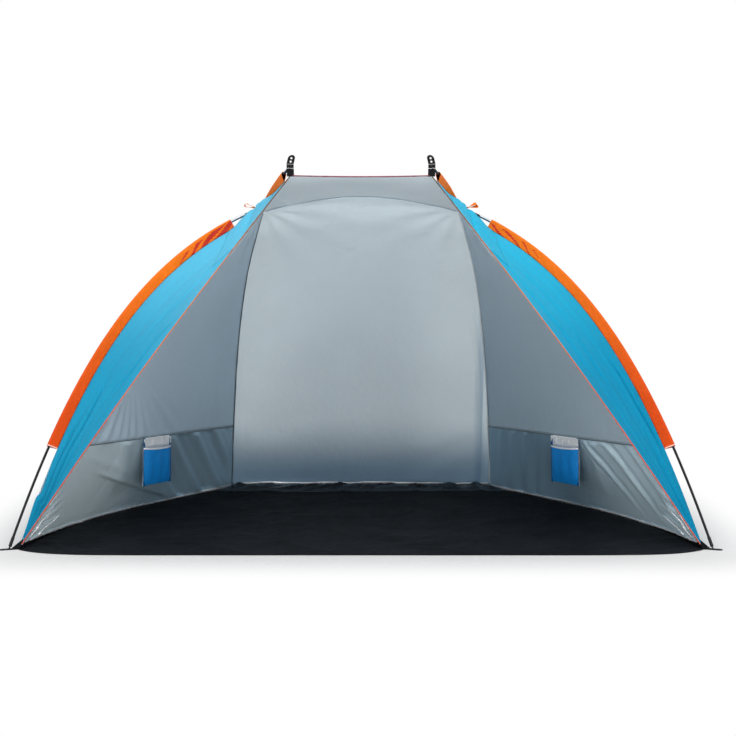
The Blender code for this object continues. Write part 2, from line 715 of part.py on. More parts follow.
def tie(shop, hoop, crossing, side):
    """A tape band round the front pole beside the crossing, and the tape's loose loop."""
    word = SIDE_NAMES[side]
    middle = crossing - TIE_PLACE
    inner = ROD_RADIUS + TIE_CLEARANCE
    outer = inner + TIE_TAPE
    low, high = middle - TIE_WIDTH / 2, middle + TIE_WIDTH / 2
    rings = [(low, inner), (low, outer), (high, outer), (high, inner)]
    vertices, faces = [], []
    for distance, radius in rings:
        inward, across, centre = hoop.inward(distance), unit(hoop.plane), hoop.point(distance)
        for step in range(TIE_SIDES):
            angle = 2 * math.pi * step / TIE_SIDES
            vertices.append(centre + (inward * math.cos(angle) + across * math.sin(angle)) * radius)
    for ring in range(len(rings)):
        after_ring = (ring + 1) % len(rings)
        for step in range(TIE_SIDES):
            after = (step + 1) % TIE_SIDES
            faces.append([ring * TIE_SIDES + step, ring * TIE_SIDES + after,
                          after_ring * TIE_SIDES + after, after_ring * TIE_SIDES + step])
    shop.add(f"tie_band_{word}", mirrored(vertices, side), faces, "orange_fabric")

    across = unit(hoop.plane)
    plane_up = unit(UP - across * np.dot(UP, across))
    outboard = unit(np.array([1.0, 0.0, 0.0]) + plane_up * TIE_LOOP_HEIGHT / TIE_LOOP_LENGTH)
    rise = unit(plane_up - outboard * np.dot(plane_up, outboard))
    outward = -hoop.inward(middle)
    root = hoop.point(middle) + outward * (outer + HINGE_GAP)
    hinge = root - outward * HINGE_GAP / 2

    def teardrop(length, half_height, tail):
        points = [(tail, -TIE_TAPE * 0.4)]
        centre = length - half_height
        for step in range(TIE_ROUND_STEPS + 1):
            angle = math.radians(-110.0 + 220.0 * step / TIE_ROUND_STEPS)
            points.append((centre + half_height * math.cos(angle), half_height * math.sin(angle)))
        return points + [(tail, TIE_TAPE * 0.4)]

    outer_loop = teardrop(TIE_LOOP_LENGTH, TIE_LOOP_HEIGHT / 2, 0.0)
    inner_loop = teardrop(TIE_LOOP_LENGTH - TIE_TAPE, TIE_LOOP_HEIGHT / 2 - TIE_TAPE,
                          TIE_LOOP_LENGTH / 4)
    count = len(outer_loop)
    ahead = np.cross(outboard, rise)
    vertices = []
    for layer in (-1, 1):
        for loop in (outer_loop, inner_loop):
            vertices += [root + outboard * x + rise * y + ahead * layer * TIE_WIDTH / 2 for x, y in loop]
    faces = []
    for step in range(count):
        after = (step + 1) % count
        for a, b in ((0, count), (count, 3 * count), (3 * count, 2 * count), (2 * count, 0)):
            faces.append([a + step, a + after, b + after, b + step])
    shop.add(f"tie_loop_{word}", mirrored(vertices, side), faces, "orange_fabric",
             mirrored(hinge, side))


def piping(shop, name, points, start, end, steps, material, side):
    """A thin cord of folded tape along a line of points."""
    line = Path(points, UP)
    vertices = []
    for distance in np.linspace(start, line.length - end, steps + 1):
        tangent = line.tangent(distance)
        first = unit(np.cross(tangent, np.array([0.0, 1.0, 0.0])))
        second = np.cross(tangent, first)
        for step in range(PIPING_SIDES):
            angle = 2 * math.pi * step / PIPING_SIDES
            vertices.append(line.point(distance)
                            + (first * math.cos(angle) + second * math.sin(angle)) * PIPING_RADIUS)
    faces = [list(range(PIPING_SIDES)), [steps * PIPING_SIDES + s for s in range(PIPING_SIDES)]]
    for ring in range(steps):
        for step in range(PIPING_SIDES):
            after = (step + 1) % PIPING_SIDES
            faces.append([ring * PIPING_SIDES + step, ring * PIPING_SIDES + after,
                          (ring + 1) * PIPING_SIDES + after, (ring + 1) * PIPING_SIDES + step])
    shop.add(name, mirrored(vertices, side), faces, material)


def side_foot(start, end):
    """The foot of the right side wall on the ground sheet, bowed outwards more towards the front."""
    shares = np.linspace(0.0, 1.0, WALL_COLUMNS + 1)
    run = unit((end - start) * np.array([1.0, 1.0, 0.0]))
    outward = np.array([-run[1], run[0], 0.0])
    bow = SIDE_BOW * hump(shares ** SIDE_BOW_SKEW_SHARE)
    return start + shares[:, None] * (end - start) + bow[:, None] * outward


def refined(points):
    """The same line with a point added in the middle of each step."""
    middles = (points[:-1] + points[1:]) / 2
    woven = np.empty((len(points) + len(middles), 3))
    woven[0::2], woven[1::2] = points, middles
    return woven


def stations(seam, pole, start, end, count):
    """Evenly spaced points of a seam line, and how far along the pole each one lies."""
    reaches = np.linspace(start, end, count + 1)
    points = np.array([seam.point(reach) for reach in reaches])
    return points, np.interp(reaches, seam.reach, np.linspace(0.0, pole.length, len(seam.reach)))


def build_fabric(shop, hoop, crossing, pole, meeting, drop):
    """All panels, from the seam lines that they share."""
    span = hoop.length
    far_drop = mirrored(drop, LEFT)
    hoop_crossings = [(crossing, drop, KNOT_REACH), (span - crossing, far_drop, KNOT_REACH)]
    hoop_seam = seam_line(hoop, hoop_crossings, KNOT_DROP)
    pole_seam = seam_line(pole, [(meeting, drop, pole.length - meeting)],
                          KNOT_DROP - 2 * ROD_RADIUS - CROSSING_GAP)
    knot = hoop.point(crossing) + drop * KNOT_DROP
    hoop_low = hoop_seam.length_at_height(WALL_BASE)
    pole_low = pole_seam.length_at_height(WALL_BASE)
    hoop_knot = hoop_seam.reach[int(np.argmin(np.linalg.norm(hoop_seam.points - knot, axis=1)))]
    pole_knot = pole_seam.reach[int(np.argmin(np.linalg.norm(pole_seam.points - knot, axis=1)))]
    hoop_wall = hoop_seam.length_at_height(WALL_SEAM_FRONT)
    pole_wall = pole_seam.length_at_height(WALL_SEAM_REAR)
    tab_place = pole.length - TOE_LIFT - PIN_LENGTH - SEAM_GAP
    pole_top = np.interp(tab_place, np.linspace(0.0, pole.length, DENSE_COUNT + 1), pole_seam.reach)

    pole_lower, pole_lower_at = stations(pole_seam, pole, pole_low, pole_wall, LOWER_ROWS)
    pole_upper, pole_upper_at = stations(pole_seam, pole, pole_wall, pole_knot, UPPER_ROWS)
    awning_side, awning_at = stations(pole_seam, pole, pole_knot, pole_top, AWNING_ROWS)
    hoop_lower, hoop_lower_at = stations(hoop_seam, hoop, hoop_low, hoop_wall, LOWER_ROWS)
    hoop_upper, hoop_upper_at = stations(hoop_seam, hoop, hoop_wall, hoop_knot, UPPER_ROWS)
    arch, _ = stations(hoop_seam, hoop, hoop_knot, hoop_seam.length - hoop_knot, REAR_COLUMNS)
    for line in (pole_upper, hoop_upper):
        line[-1] = knot
    awning_side[0] = knot
    arch[0], arch[-1] = knot, mirrored(knot, LEFT)

    middle = np.array([0.0, (REAR_FOOT_Y + TIP_Y) / 2, WALL_SEAM_FRONT])
    foot = side_foot(pole_lower[0], hoop_lower[0])
    wall_seam = pole_lower[-1] + np.linspace(0.0, 1.0, WALL_COLUMNS + 1)[:, None] \
        * (hoop_lower[-1] - pole_lower[-1])

    rear_side = np.vstack([pole_lower, pole_upper[1:]])
    rear_foot = ruled(pole_lower[:1], mirrored(pole_lower[:1], LEFT), REAR_COLUMNS)[0]
    rear = coons(rear_foot, arch, rear_side, mirrored(rear_side, LEFT))
    rows, columns = (shares_of(rear_side)[:, None], np.linspace(0.0, 1.0, REAR_COLUMNS + 1)[None, :])
    rear = push(rear, -REAR_PANEL_SAG * hump(rows) * hump(columns), middle)

    awning_far = mirrored(awning_side, LEFT)
    top_edge = ruled(awning_side[-1:], awning_far[-1:], REAR_COLUMNS)[0]
    top_edge = top_edge - UP * TOP_EDGE_SAG * hump(shares_of(top_edge))[:, None]
    roof = coons(arch, top_edge, awning_side, awning_far)

    lower = coons(refined(foot), refined(wall_seam), pole_lower, hoop_lower)
    u = np.linspace(0.0, 1.0, 2 * WALL_COLUMNS + 1)[None, :]
    v = np.linspace(0.0, 1.0, LOWER_ROWS + 1)[:, None]
    folds = np.sin(2 * np.pi * FOLD_COUNT * (u + FOLD_SLANT_SHARE * v)) * hump(v) * hump(u) ** 2
    lower = push(lower, FOLD_DEPTH * folds * (v > 0) * (v < 1), middle)

    near_knot = 1.0 - WALL_PEAK_SHARE
    pole_side, hoop_side = pole_upper.copy(), hoop_upper.copy()
    for line in (pole_side, hoop_side):
        line[-1] = line[-2] + (line[-1] - line[-2]) * (1.0 - near_knot)
    upper = ruled(pole_side, hoop_side, WALL_COLUMNS)
    rows, columns = (np.linspace(0.0, 1.0, UPPER_ROWS + 1)[:, None],
                     np.linspace(0.0, 1.0, WALL_COLUMNS + 1)[None, :])
    upper = push(upper, -SIDE_WALL_SAG * hump(rows) * hump(columns), middle)

    outer = np.vstack([hoop_lower, hoop_upper[1:], awning_side[1:]])
    edge_run = awning_side[-1] - hoop_lower[0]
    shares = shares_of(outer)
    front_edge = hoop_lower[0] + shares[:, None] * edge_run
    front_edge[:, 0] += FRONT_EDGE_BOW * hump(shares)
    wing_outer, wing_inner = outer.copy(), front_edge.copy()
    for line in (wing_outer, wing_inner):
        line[0] = line[0] + (line[1] - line[0]) * WING_START_SHARE
        line[-1] = line[-1] + (line[-2] - line[-1]) * WING_END_SHARE
    wing = ruled(wing_inner, wing_outer, WING_COLUMNS)
    rows, columns = shares[:, None], np.linspace(0.0, 1.0, WING_COLUMNS + 1)[None, :]
    wing = push(wing, -WING_SAG * hump(rows) * hump(columns), middle)

    n_rear, n_roof = grid_normals(rear, middle), grid_normals(roof, middle)
    n_lower, n_upper = grid_normals(lower, middle), grid_normals(upper, middle)
    n_wing = grid_normals(wing, middle)
    side_normals = np.vstack([n_lower[:, 0], n_upper[1:, 0]])
    rear_inset = seam_inset(n_rear[:, 0], side_normals)
    arch_inset = seam_inset(n_rear[-1], n_roof[0])
    wall_normals = np.vstack([n_lower[:, -1], n_upper[1:, -1]])
    wall_count = len(wall_normals)
    hoop_inset = seam_inset(n_wing[:wall_count, -1], wall_normals)
    roof_inset = seam_inset(n_wing[wall_count - 1:, -1], n_roof[:, 0])
    across_seam = seam_inset(n_lower[-1, ::2], n_upper[0])
    edge_inset = PIPING_RADIUS + SEAM_GAP
    wing_inset = np.concatenate([hoop_inset[:-1], [max(hoop_inset[-1], roof_inset[0])],
                                 roof_inset[1:]])

    rear = inset_grid(rear, rear_inset, rear_inset, 0.0, arch_inset)
    roof = inset_grid(roof, roof_inset, roof_inset, arch_inset, edge_inset)
    lower = inset_grid(lower, rear_inset[:LOWER_ROWS + 1], hoop_inset[:LOWER_ROWS + 1], 0.0,
                       across_seam.max())
    upper = inset_grid(upper, rear_inset[LOWER_ROWS:], hoop_inset[LOWER_ROWS:], across_seam.max(), 0.0)
    wing = inset_grid(wing, edge_inset, wing_inset, 0.0, 0.0)

    shell(shop, "rear_panel", rear, "silver_fabric", RIGHT, middle)
    shell(shop, "roof_panel", roof, "silver_fabric", RIGHT, middle)
    for side in (RIGHT, LEFT):
        word = SIDE_NAMES[side]
        shell(shop, f"side_wall_lower_{word}", lower, "silver_fabric", side, middle)
        shell(shop, f"side_wall_upper_{word}", upper, "silver_fabric", side, middle)
        shell(shop, f"wing_{word}", wing, "blue_fabric", side, middle)
        piping(shop, f"front_piping_{word}", wing_inner, SIDE_PIPING_TRIM, SIDE_PIPING_TRIM,
               len(wing_inner) - 1, "orange_fabric", side)
        pocket(shop, pole_lower[-1], hoop_lower[-1], side)
    piping(shop, "top_piping", top_edge, TOP_PIPING_TRIM, TOP_PIPING_TRIM, REAR_COLUMNS,
           "maroon_piping", RIGHT)
    hoop_side = (np.vstack([hoop_lower, hoop_upper[1:]]),
                 np.concatenate([hoop_lower_at, hoop_upper_at[1:]]))
    pole_side = (np.vstack([pole_lower, pole_upper[1:], awning_side[1:]]),
                 np.concatenate([pole_lower_at, pole_upper_at[1:], awning_at[1:]]))
    return foot, hoop_side, pole_side


def build():
    shop = Workshop()
    hoop = front_pole()
    hoop_x = hoop.points[:, 0]
    crossing = float(np.interp(-CROSSING_X, -hoop_x, hoop.reach))
    pole, meeting, drop = rear_pole(hoop, crossing)
    foot, hoop_side, pole_side = build_fabric(shop, hoop, crossing, pole, meeting, drop)
    eyelets = ground_eyelets(hoop, pole)
    ground_sheet(shop, foot, eyelets)

    pole_sections(shop, "front_pole", hoop, HOOP_SECTIONS, RIGHT,
                  (crossing, hoop.length - crossing), HOOP_JOINT_SHIFT)
    far_end = hoop.reversed()
    pole_tip(shop, "front_pole_tip_right", hoop, RIGHT)
    pole_tip(shop, "front_pole_tip_left", far_end, RIGHT)
    top_end = pole.reversed()
    for side in (RIGHT, LEFT):
        word = SIDE_NAMES[side]
        pole_sections(shop, f"rear_pole_{word}", pole, REAR_SECTIONS, side, (meeting,))
        pole_tip(shop, f"rear_pole_{word}_ground_tip", pole, side)
        pole_tip(shop, f"rear_pole_{word}_top_tip", top_end, side)
        sleeve(shop, f"long_sleeve_{word}", hoop, hoop_side, LONG_SLEEVE_LOW,
               hoop.length / 2 - LONG_SLEEVE_HIGH, side)
        sleeve(shop, f"rear_sleeve_{word}", pole, pole_side, REAR_SLEEVE_LOW,
               meeting - REAR_SLEEVE_HIGH, side)
        sleeve(shop, f"short_sleeve_{word}", pole, pole_side, meeting + SHORT_SLEEVE_LOW,
               pole.length - SHORT_SLEEVE_HIGH, side)
        tie(shop, hoop, crossing, side)
        top_tab(shop, pole, side)
        front, rear = eyelets
        ground_tab(shop, "front_ground_tab", *front, True, side)
        ground_tab(shop, "rear_ground_tab", *rear, False, side)
    shop.centre()


build()
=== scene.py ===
"""Looks of a small beach shelter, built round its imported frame.

Metres, +Z up, the open front at -Y. Curves are worked out in plan coordinates, in which the front
corners' line is Y = 0, and are moved to the frame's origin when a mesh is made.
"""

import math

import bmesh
import bpy
import numpy as np
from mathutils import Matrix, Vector


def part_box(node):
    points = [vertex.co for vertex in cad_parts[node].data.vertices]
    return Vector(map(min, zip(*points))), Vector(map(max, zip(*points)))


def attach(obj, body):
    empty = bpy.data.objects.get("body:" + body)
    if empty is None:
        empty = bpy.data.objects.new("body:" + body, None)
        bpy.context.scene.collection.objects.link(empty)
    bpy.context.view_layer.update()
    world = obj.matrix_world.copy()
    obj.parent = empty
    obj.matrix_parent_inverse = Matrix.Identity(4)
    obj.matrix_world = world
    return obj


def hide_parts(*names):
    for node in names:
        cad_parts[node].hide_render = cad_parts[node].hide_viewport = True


# Front pole: an arch in a plane that leans back by the lean share of its height
HOOP_FOOT_X = 1.060
HOOP_RISE = 1.240
HOOP_LEAN_SHARE = 0.50
SHOULDER_DRAW = 0.008

# Rear poles, and where they cross the front pole
REAR_FOOT_X = 0.510
REAR_FOOT_Y = 1.217
CROSSING_X = 0.333
TIP_Y = 0.060
TIP_Z = 1.150

# Rods, ferrules and tips
ROD_RADIUS = 0.0040
CROSSING_GAP = 0.0006
HOOP_SECTIONS = 8
REAR_SECTIONS = 4
HOOP_JOINT_SHIFT = 0.017
FERRULE_RADIUS = 0.0050
FERRULE_GRIP = 0.023
FERRULE_SOCKET = 0.047
TIP_CAP_LENGTH = 0.030
PIN_RADIUS = 0.0024
PIN_LENGTH = 0.0075
TOE_LIFT = 0.0022
ROD_SIDES = 16
ROD_RINGS = 14

# Fabric lines
SEAM_DROP = 0.028
KNOT_DROP = 0.0165
KNOT_REACH = 0.160
WALL_BASE = 0.0015
WALL_SEAM_REAR = 0.240
WALL_SEAM_FRONT = 0.285
SIDE_BOW = 0.088
SIDE_BOW_SKEW_SHARE = 1.3
FRONT_BOW = 0.083
FRONT_SQUARENESS = 12
FLOOR_MARGIN = 0.0035
FRONT_EDGE_BOW = 0.020
TOP_EDGE_SAG = 0.003
REAR_PANEL_SAG = 0.014
SIDE_WALL_SAG = 0.010
WING_SAG = 0.006
WING_START_HEIGHT = 0.020
CLOTH = 0.0007
SHEET_PLASTIC = 0.0009

# Sleeves
SLEEVE_RADIUS = 0.0076
LONG_SLEEVE_LOW = 0.340
LONG_SLEEVE_HIGH = 0.455
REAR_SLEEVE_LOW = 0.110
REAR_SLEEVE_HIGH = 0.090
SHORT_SLEEVE_LOW = 0.100
SHORT_SLEEVE_HIGH = 0.107

# Webbing tabs and eyelets
WEB_WIDTH = 0.022
WEB_THICKNESS = 0.0014
HINGE_GAP = 0.0008
TOP_TAB_DROP = 0.031
TOP_TAB_ABOVE = 0.0065
TOP_TAIL_LENGTH = 0.028
TOP_EYELET_PITCH = 0.0105
TOP_TAIL_FIRST_EYELET = 0.0075
EYELET_HOLE = 0.0033
SOCKET_HOLE = 0.0034
GROUND_SOCKET_HOLE = 0.0044
GROUND_TAB_BACK = 0.027
GROUND_TAB_AHEAD = 0.0080
GROUND_TAIL_LENGTH = 0.020
FRONT_TAB_TURN = -20.0
EYELET_FLANGE = 0.0022
EYELET_HEIGHT = 0.0022

# Pockets
POCKET_PLACE_SHARE = 0.490
POCKET_WIDTH = 0.172
POCKET_HEIGHT = 0.165
POCKET_STAND = 0.0018
POCKET_HANG = 0.0006
POUCH_DROP = 0.033
POUCH_BULGE = 0.017
POUCH_EDGE = 0.0030

# Tape ties
TIE_PLACE = 0.016
TIE_WIDTH = 0.008
TIE_TAPE = 0.0010
TIE_CLEARANCE = 0.0007
TIE_LOOP_LENGTH = 0.040
TIE_LOOP_HEIGHT = 0.013

# Camera, worked out from the photograph's perspective
PHOTO_SIDE = 736
FOCAL_PIXELS = 1346
SENSOR = 36.0
CAMERA_DISTANCE = 4.0
CAMERA_HEIGHT = 0.8415
CAMERA_PITCH = 4.20
OBJECT_MIDDLE_PIXEL = 361

DENSE_COUNT = 600
TANGENT_STEP = 0.004
ARCH_STEP_SHARE = 0.004
UP = np.array([0.0, 0.0, 1.0])
RIGHT, LEFT = 1, -1
SIDES = {RIGHT: "right", LEFT: "left"}

# Fineness of the meshes
REAR_ROWS, REAR_COLUMNS = 120, 140
WALL_ROWS, WALL_COLUMNS = 100, 90
LOWER_ROWS, LOWER_COLUMNS = 56, 220
WING_ROWS, WING_COLUMNS = 240, 66
ROOF_ROWS, ROOF_COLUMNS = 50, 80
FLOOR_ROWS, FLOOR_COLUMNS = 130, 210
HOLE_SIDES = 24

# How far in from its sewn edges a cloth lies flat
EDGE_HOLD = 0.03
ARCH_HOLD = 0.006
UPPER_WALL_HOLD = 0.015

# Rear and roof panels: depths of their waves, folds and tucks
REAR_WAVE, REAR_RIPPLE = 0.0030, 0.0010
REAR_PULL = 0.0026
REAR_PUCKER = 0.0022
REAR_LOW_FOLD = 0.0075
ARCH_PUCKER = 0.0020
TUCK_DEPTH, TUCK_PLACE, TUCK_WIDTH = 0.0130, 0.032, 0.0085
TUCK_WANDER = 0.005
FAR_TUCK_DEPTH, FAR_TUCK_PLACE, FAR_TUCK_WIDTH = 0.0025, 0.026, 0.010
ROOF_WAVE, ROOF_RIPPLE = 0.0022, 0.0008
BINDING_RADIUS = 0.0017

# Wings. A fold is its first row and column share, its last ones, and its depth
WING_CREASE, WING_FINE_CREASE, WING_RIPPLE = 0.0022, 0.0010, 0.0010
FOLD_WIDTH = 0.0080
WING_FOLDS = {
    LEFT: [(0.04, 0.40, 0.33, 0.60, 0.0150),
           (0.03, 0.64, 0.24, 0.78, 0.0125),
           (0.06, 0.20, 0.22, 0.34, 0.0090),
           (0.40, 0.27, 0.57, 0.18, 0.0120),
           (0.50, 0.45, 0.72, 0.38, 0.0075)],
    RIGHT: [(0.19, 0.86, 0.37, 0.78, 0.0160),
            (0.05, 0.48, 0.20, 0.58, 0.0060),
            (0.40, 0.40, 0.60, 0.62, 0.0100),
            (0.46, 0.22, 0.70, 0.40, 0.0080)],
}
NOTCH_OUT = 0.0045
NOTCH_IN = 0.0050
NOTCH_HEIGHT = 0.150
GUARD_ROW_SHARES = (0.675, 0.865)
GUARD_COLUMN_SHARE = 0.45
TAB_STAND = 0.0002  # the top tab stands this far before the plane across the pole
RAW_EDGE_HALF = 0.0006  # half the gap between a sleeve's two raw edges
GUARD_STAND = 0.0012
GUARD_LIFT = np.array([0.0270, -0.0290, 0.0086])
GUARD_RIPPLE = 0.0014

# Side walls: depths of their folds. A dent beside the pocket is its depth, place and width, and the
# heights between which it grows
FAN_REACH = 0.012
FAN_DEPTH_SHARE = 0.016
LOWER_WAVE = 0.0030
LOWER_PUCKER, LOWER_CREASE = 0.0022, 0.0026
RIGHT_FOLD, RIGHT_FOLD_LENGTH, RIGHT_FOLD_PLACE = 0.0046, 0.0685, 0.94
RIGHT_CREASE = 0.0040
RIGHT_REAR_FOLD, RIGHT_REAR_LENGTH = 0.0028, 0.085
LEFT_CREASE, LEFT_CREASE_FADE, LEFT_CREASE_RISE_SHARE = 0.0120, 0.060, 0.375
LEFT_CREASE_PLACE, LEFT_CREASE_FOOT = 0.371, 0.013
LEFT_SIDE_CREASE, LEFT_SIDE_PLACE, LEFT_SIDE_WIDTH = 0.0035, 0.050, 0.020
LEFT_REAR_FOLD, LEFT_REAR_PLACE, LEFT_REAR_LENGTH = 0.0070, 0.11, 0.155
LEFT_FINE_FOLD, LEFT_FINE_PLACE, LEFT_FINE_LENGTH = 0.0026, 0.03, 0.066
POCKET_DENTS = {RIGHT: (0.0065, 0.690, 0.036, 0.05, 0.14), LEFT: (0.0085, 0.715, 0.042, 0.07, 0.15)}
UPPER_WAVE, UPPER_PULL, UPPER_PUCKER = 0.0030, 0.0035, 0.0060
UPPER_FAN_PLACE, UPPER_FAN_HEIGHT, UPPER_FAN_DEPTH_SHARE = 0.68, 0.27, 0.0200

# Pleats at the wall's front corner: where each starts, how far it runs back and up, and its width
HIGH_PLEAT_PLACE, HIGH_PLEAT_FOOT = 1.282, 0.024
HIGH_PLEAT_RUN, HIGH_PLEAT_RISE, HIGH_PLEAT_WIDTH = 0.156, 0.103, 0.0170
MIDDLE_PLEAT_PLACE, MIDDLE_PLEAT_FOOT = 1.240, 0.022
MIDDLE_PLEAT_RUN, MIDDLE_PLEAT_RISE, MIDDLE_PLEAT_WIDTH = 0.144, 0.086, 0.0095
LOW_PLEAT_PLACE, LOW_PLEAT_FOOT = 1.182, 0.019
LOW_PLEAT_RUN, LOW_PLEAT_RISE, LOW_PLEAT_WIDTH = 0.133, 0.047, 0.0085
PLEATS = [(HIGH_PLEAT_PLACE, HIGH_PLEAT_FOOT, HIGH_PLEAT_RUN, HIGH_PLEAT_RISE, HIGH_PLEAT_WIDTH),
          (MIDDLE_PLEAT_PLACE, MIDDLE_PLEAT_FOOT, MIDDLE_PLEAT_RUN, MIDDLE_PLEAT_RISE, MIDDLE_PLEAT_WIDTH),
          (LOW_PLEAT_PLACE, LOW_PLEAT_FOOT, LOW_PLEAT_RUN, LOW_PLEAT_RISE, LOW_PLEAT_WIDTH)]
PLEAT_HEIGHT = 0.0040
PLEAT_STAND = 0.0018
PLEAT_WANDER = 0.0012

# Hems and seam edges inside the tent
HEM_HEIGHT = 0.0062
HEM_BASE = 0.0012
HEM_STAND = 0.0014
HEM_START = 0.006
HEM_OVERLAP = 0.03
REAR_HEM_BASE = 0.0082
REAR_HEM_WANDER = 0.0042
REAR_HEM_END = 0.008
CORNER_HEM_STAND = 0.0030
CORNER_HEM_OVERLAP = 0.0008
FLAP_WAVE = 0.0012
REAR_FLAP_WIDTH = 0.0030
# The right rear seam strip, a painted highlight, is wider than the left.
REAR_FLAP_EXTRA = {RIGHT: 0.0035, LEFT: 0.0005}
WALL_FLAP_NARROW, WALL_FLAP_EXTRA = 0.0007, 0.0027
ARCH_FLAP_WIDTH = 0.0026

# Sleeves: the turned back end, painted dark red as its inside in shade, covers a stripe from the first value,
# at each length from the top
SLEEVE_STEP, SLEEVE_FINE_STEP, SLEEVE_FINE_REACH = 0.0042, 0.0017, 0.24
SLEEVE_GATHER, SLEEVE_CREASE = 0.0011, 0.0016
RIM_WIDTH = 0.0035
TURNED_BACK_SHADE = {RIGHT: ((0.0, 0.12, 0.21), (-0.30, -0.72, -1.0)),
               LEFT: ((0.0, 0.10, 0.17, 0.23), (0.80, 0.55, -0.35, -1.0))}

# Rod joints, tabs, pockets and ties
TURNED_EDGE = 0.0004
TIP_EDGE = 0.0005
RING_INSET = 0.002
CRIMP_HALF = 0.0015
TAIL_LEAN = 0.0075
STITCH_COUNT = 5
STITCH_DROP = 0.0060
STITCH_WIDTH = 0.0012
STITCH_LENGTH = 0.0026
STITCH_HEIGHT = 0.0004
STITCH_STAND = 0.0003
POCKET_CRUMPLE, POCKET_RIPPLE, POCKET_WAVE = 0.0042, 0.0016, 0.0010
POUCH_STAND = 0.0012
POUCH_DROOP = 0.004
POUCH_WAVE, POUCH_FOLD = 0.0018, 0.0016
POCKET_HEM_WIDTH = 0.0055
POCKET_TAPE_WIDTH = 0.0100
TAPE_STAND = 0.0011
TAPE_WOBBLE = 0.0004
TIE_SPREAD = {RIGHT: 1.30, LEFT: 1.10}
TIE_TWIST = {RIGHT: 1.70, LEFT: 0.90}
TIE_WOBBLE = 0.0004

# Ground sheet: heights of its creases, and the corners drawn up along the walls
FLOOR_LIFT = 0.0002
FLOOR_WAVE, FLOOR_CREASE, FLOOR_CROSS_CREASE, FLOOR_FINE_CREASE = 0.0030, 0.0050, 0.0030, 0.0010
BUNCH_BASE, BUNCH_HEIGHT, BUNCH_FINE = 0.0010, 0.0120, 0.0060
SIDE_BUNCH = 0.0022
FRONT_ROLL = 0.0022
GLOSS_REACH = 0.155
WEDGE_HEIGHT = 0.029
WEDGE_REACH = 0.450
WEDGE_TURN = 0.016
WEDGE_LONG_SHARE = 0.42
WEDGE_PIN_GAP = 0.0085
WEDGE_BASE = 0.0026
WEDGE_STAND = 0.0014
WEDGE_CREST = 0.003
WEDGE_FOLD, WEDGE_RIPPLE = 0.0015, 0.0008

# Floor of the picture
FLOOR_HALF = 30.0
FLOOR_TONE = 0.53
SHADED_BOX = (0.95, 0.62)
SHADED_REACH = (0.06, 0.36)


def unit(vectors):
    return vectors / np.linalg.norm(vectors, axis=-1, keepdims=True)


def reach_of(points):
    """The running length along a line of points, from zero."""
    return np.concatenate([[0.0], np.cumsum(np.linalg.norm(np.diff(points, axis=0), axis=1))])


def unit_arch(peak):
    """A bent rod with its two ends held: it curves in proportion to its height above its chord."""
    across, height, turn = 0.0, peak, 0.0
    points = [(across, height)]
    while height > 0.0:
        last_height = height
        turn += height * ARCH_STEP_SHARE
        across += math.cos(turn) * ARCH_STEP_SHARE
        height -= math.sin(turn) * ARCH_STEP_SHARE
        points.append((across, height))
    back = height / (height - last_height)
    end_across = across - back * math.cos(turn) * ARCH_STEP_SHARE
    points[-1] = (end_across, 0.0)
    half = np.array(points) / end_across
    mirrored = half[::-1] * np.array([-1.0, 1.0])
    return np.vstack([mirrored, half[1:]])


def search_peak(is_too_low):
    low, high = 0.05, 1.75
    for _ in range(40):
        middle = (low + high) / 2
        if is_too_low(unit_arch(middle)):
            low = middle
        else:
            high = middle
    return unit_arch(middle)


class Path:
    """A dense line through space, asked for points by the length along it."""

    def __init__(self, points, plane):
        self.points = np.array(points)
        self.plane = plane
        self.reach = reach_of(self.points)
        self.length = self.reach[-1]

    def point(self, distance):
        columns = [np.interp(distance, self.reach, self.points[:, axis]) for axis in range(3)]
        return np.stack(columns, axis=-1)

    def tangent(self, distance):
        ahead = self.point(np.minimum(np.asarray(distance) + TANGENT_STEP, self.length))
        behind = self.point(np.maximum(np.asarray(distance) - TANGENT_STEP, 0.0))
        return unit(ahead - behind)

    def inward(self, distance):
        return unit(np.cross(self.tangent(distance), self.plane))

    def length_at_height(self, height):
        index = int(np.argmax(self.points[:, 2] >= height))
        below, above = self.points[index - 1, 2], self.points[index, 2]
        share = (height - below) / (above - below)
        return self.reach[index - 1] + share * (self.reach[index] - self.reach[index - 1])

    def reversed(self):
        return Path(self.points[::-1], -self.plane)

    def mirrored(self, side):
        """The same line on the other side of the tent. A mirrored plane keeps inward inward."""
        flip = np.array([side, 1.0, 1.0])
        return Path(self.points * flip, self.plane * flip * side)


def front_pole():
    def too_low(arch):
        return arch[:, 1].max() < HOOP_RISE / HOOP_FOOT_X
    arch = search_peak(too_low) * HOOP_FOOT_X
    upright = 1.0 / math.sqrt(1.0 + HOOP_LEAN_SHARE ** 2)
    height_share = arch[:, 1] / arch[:, 1].max()
    draw = SHOULDER_DRAW * np.sin(np.pi * height_share) ** 2 * np.sign(arch[:, 0])
    points = np.stack([arch[:, 0] - draw,
                       arch[:, 1] * upright * HOOP_LEAN_SHARE,
                       arch[:, 1] * upright], axis=1)
    plane = np.array([0.0, upright, -upright * HOOP_LEAN_SHARE])
    return Path(points[::-1], plane)


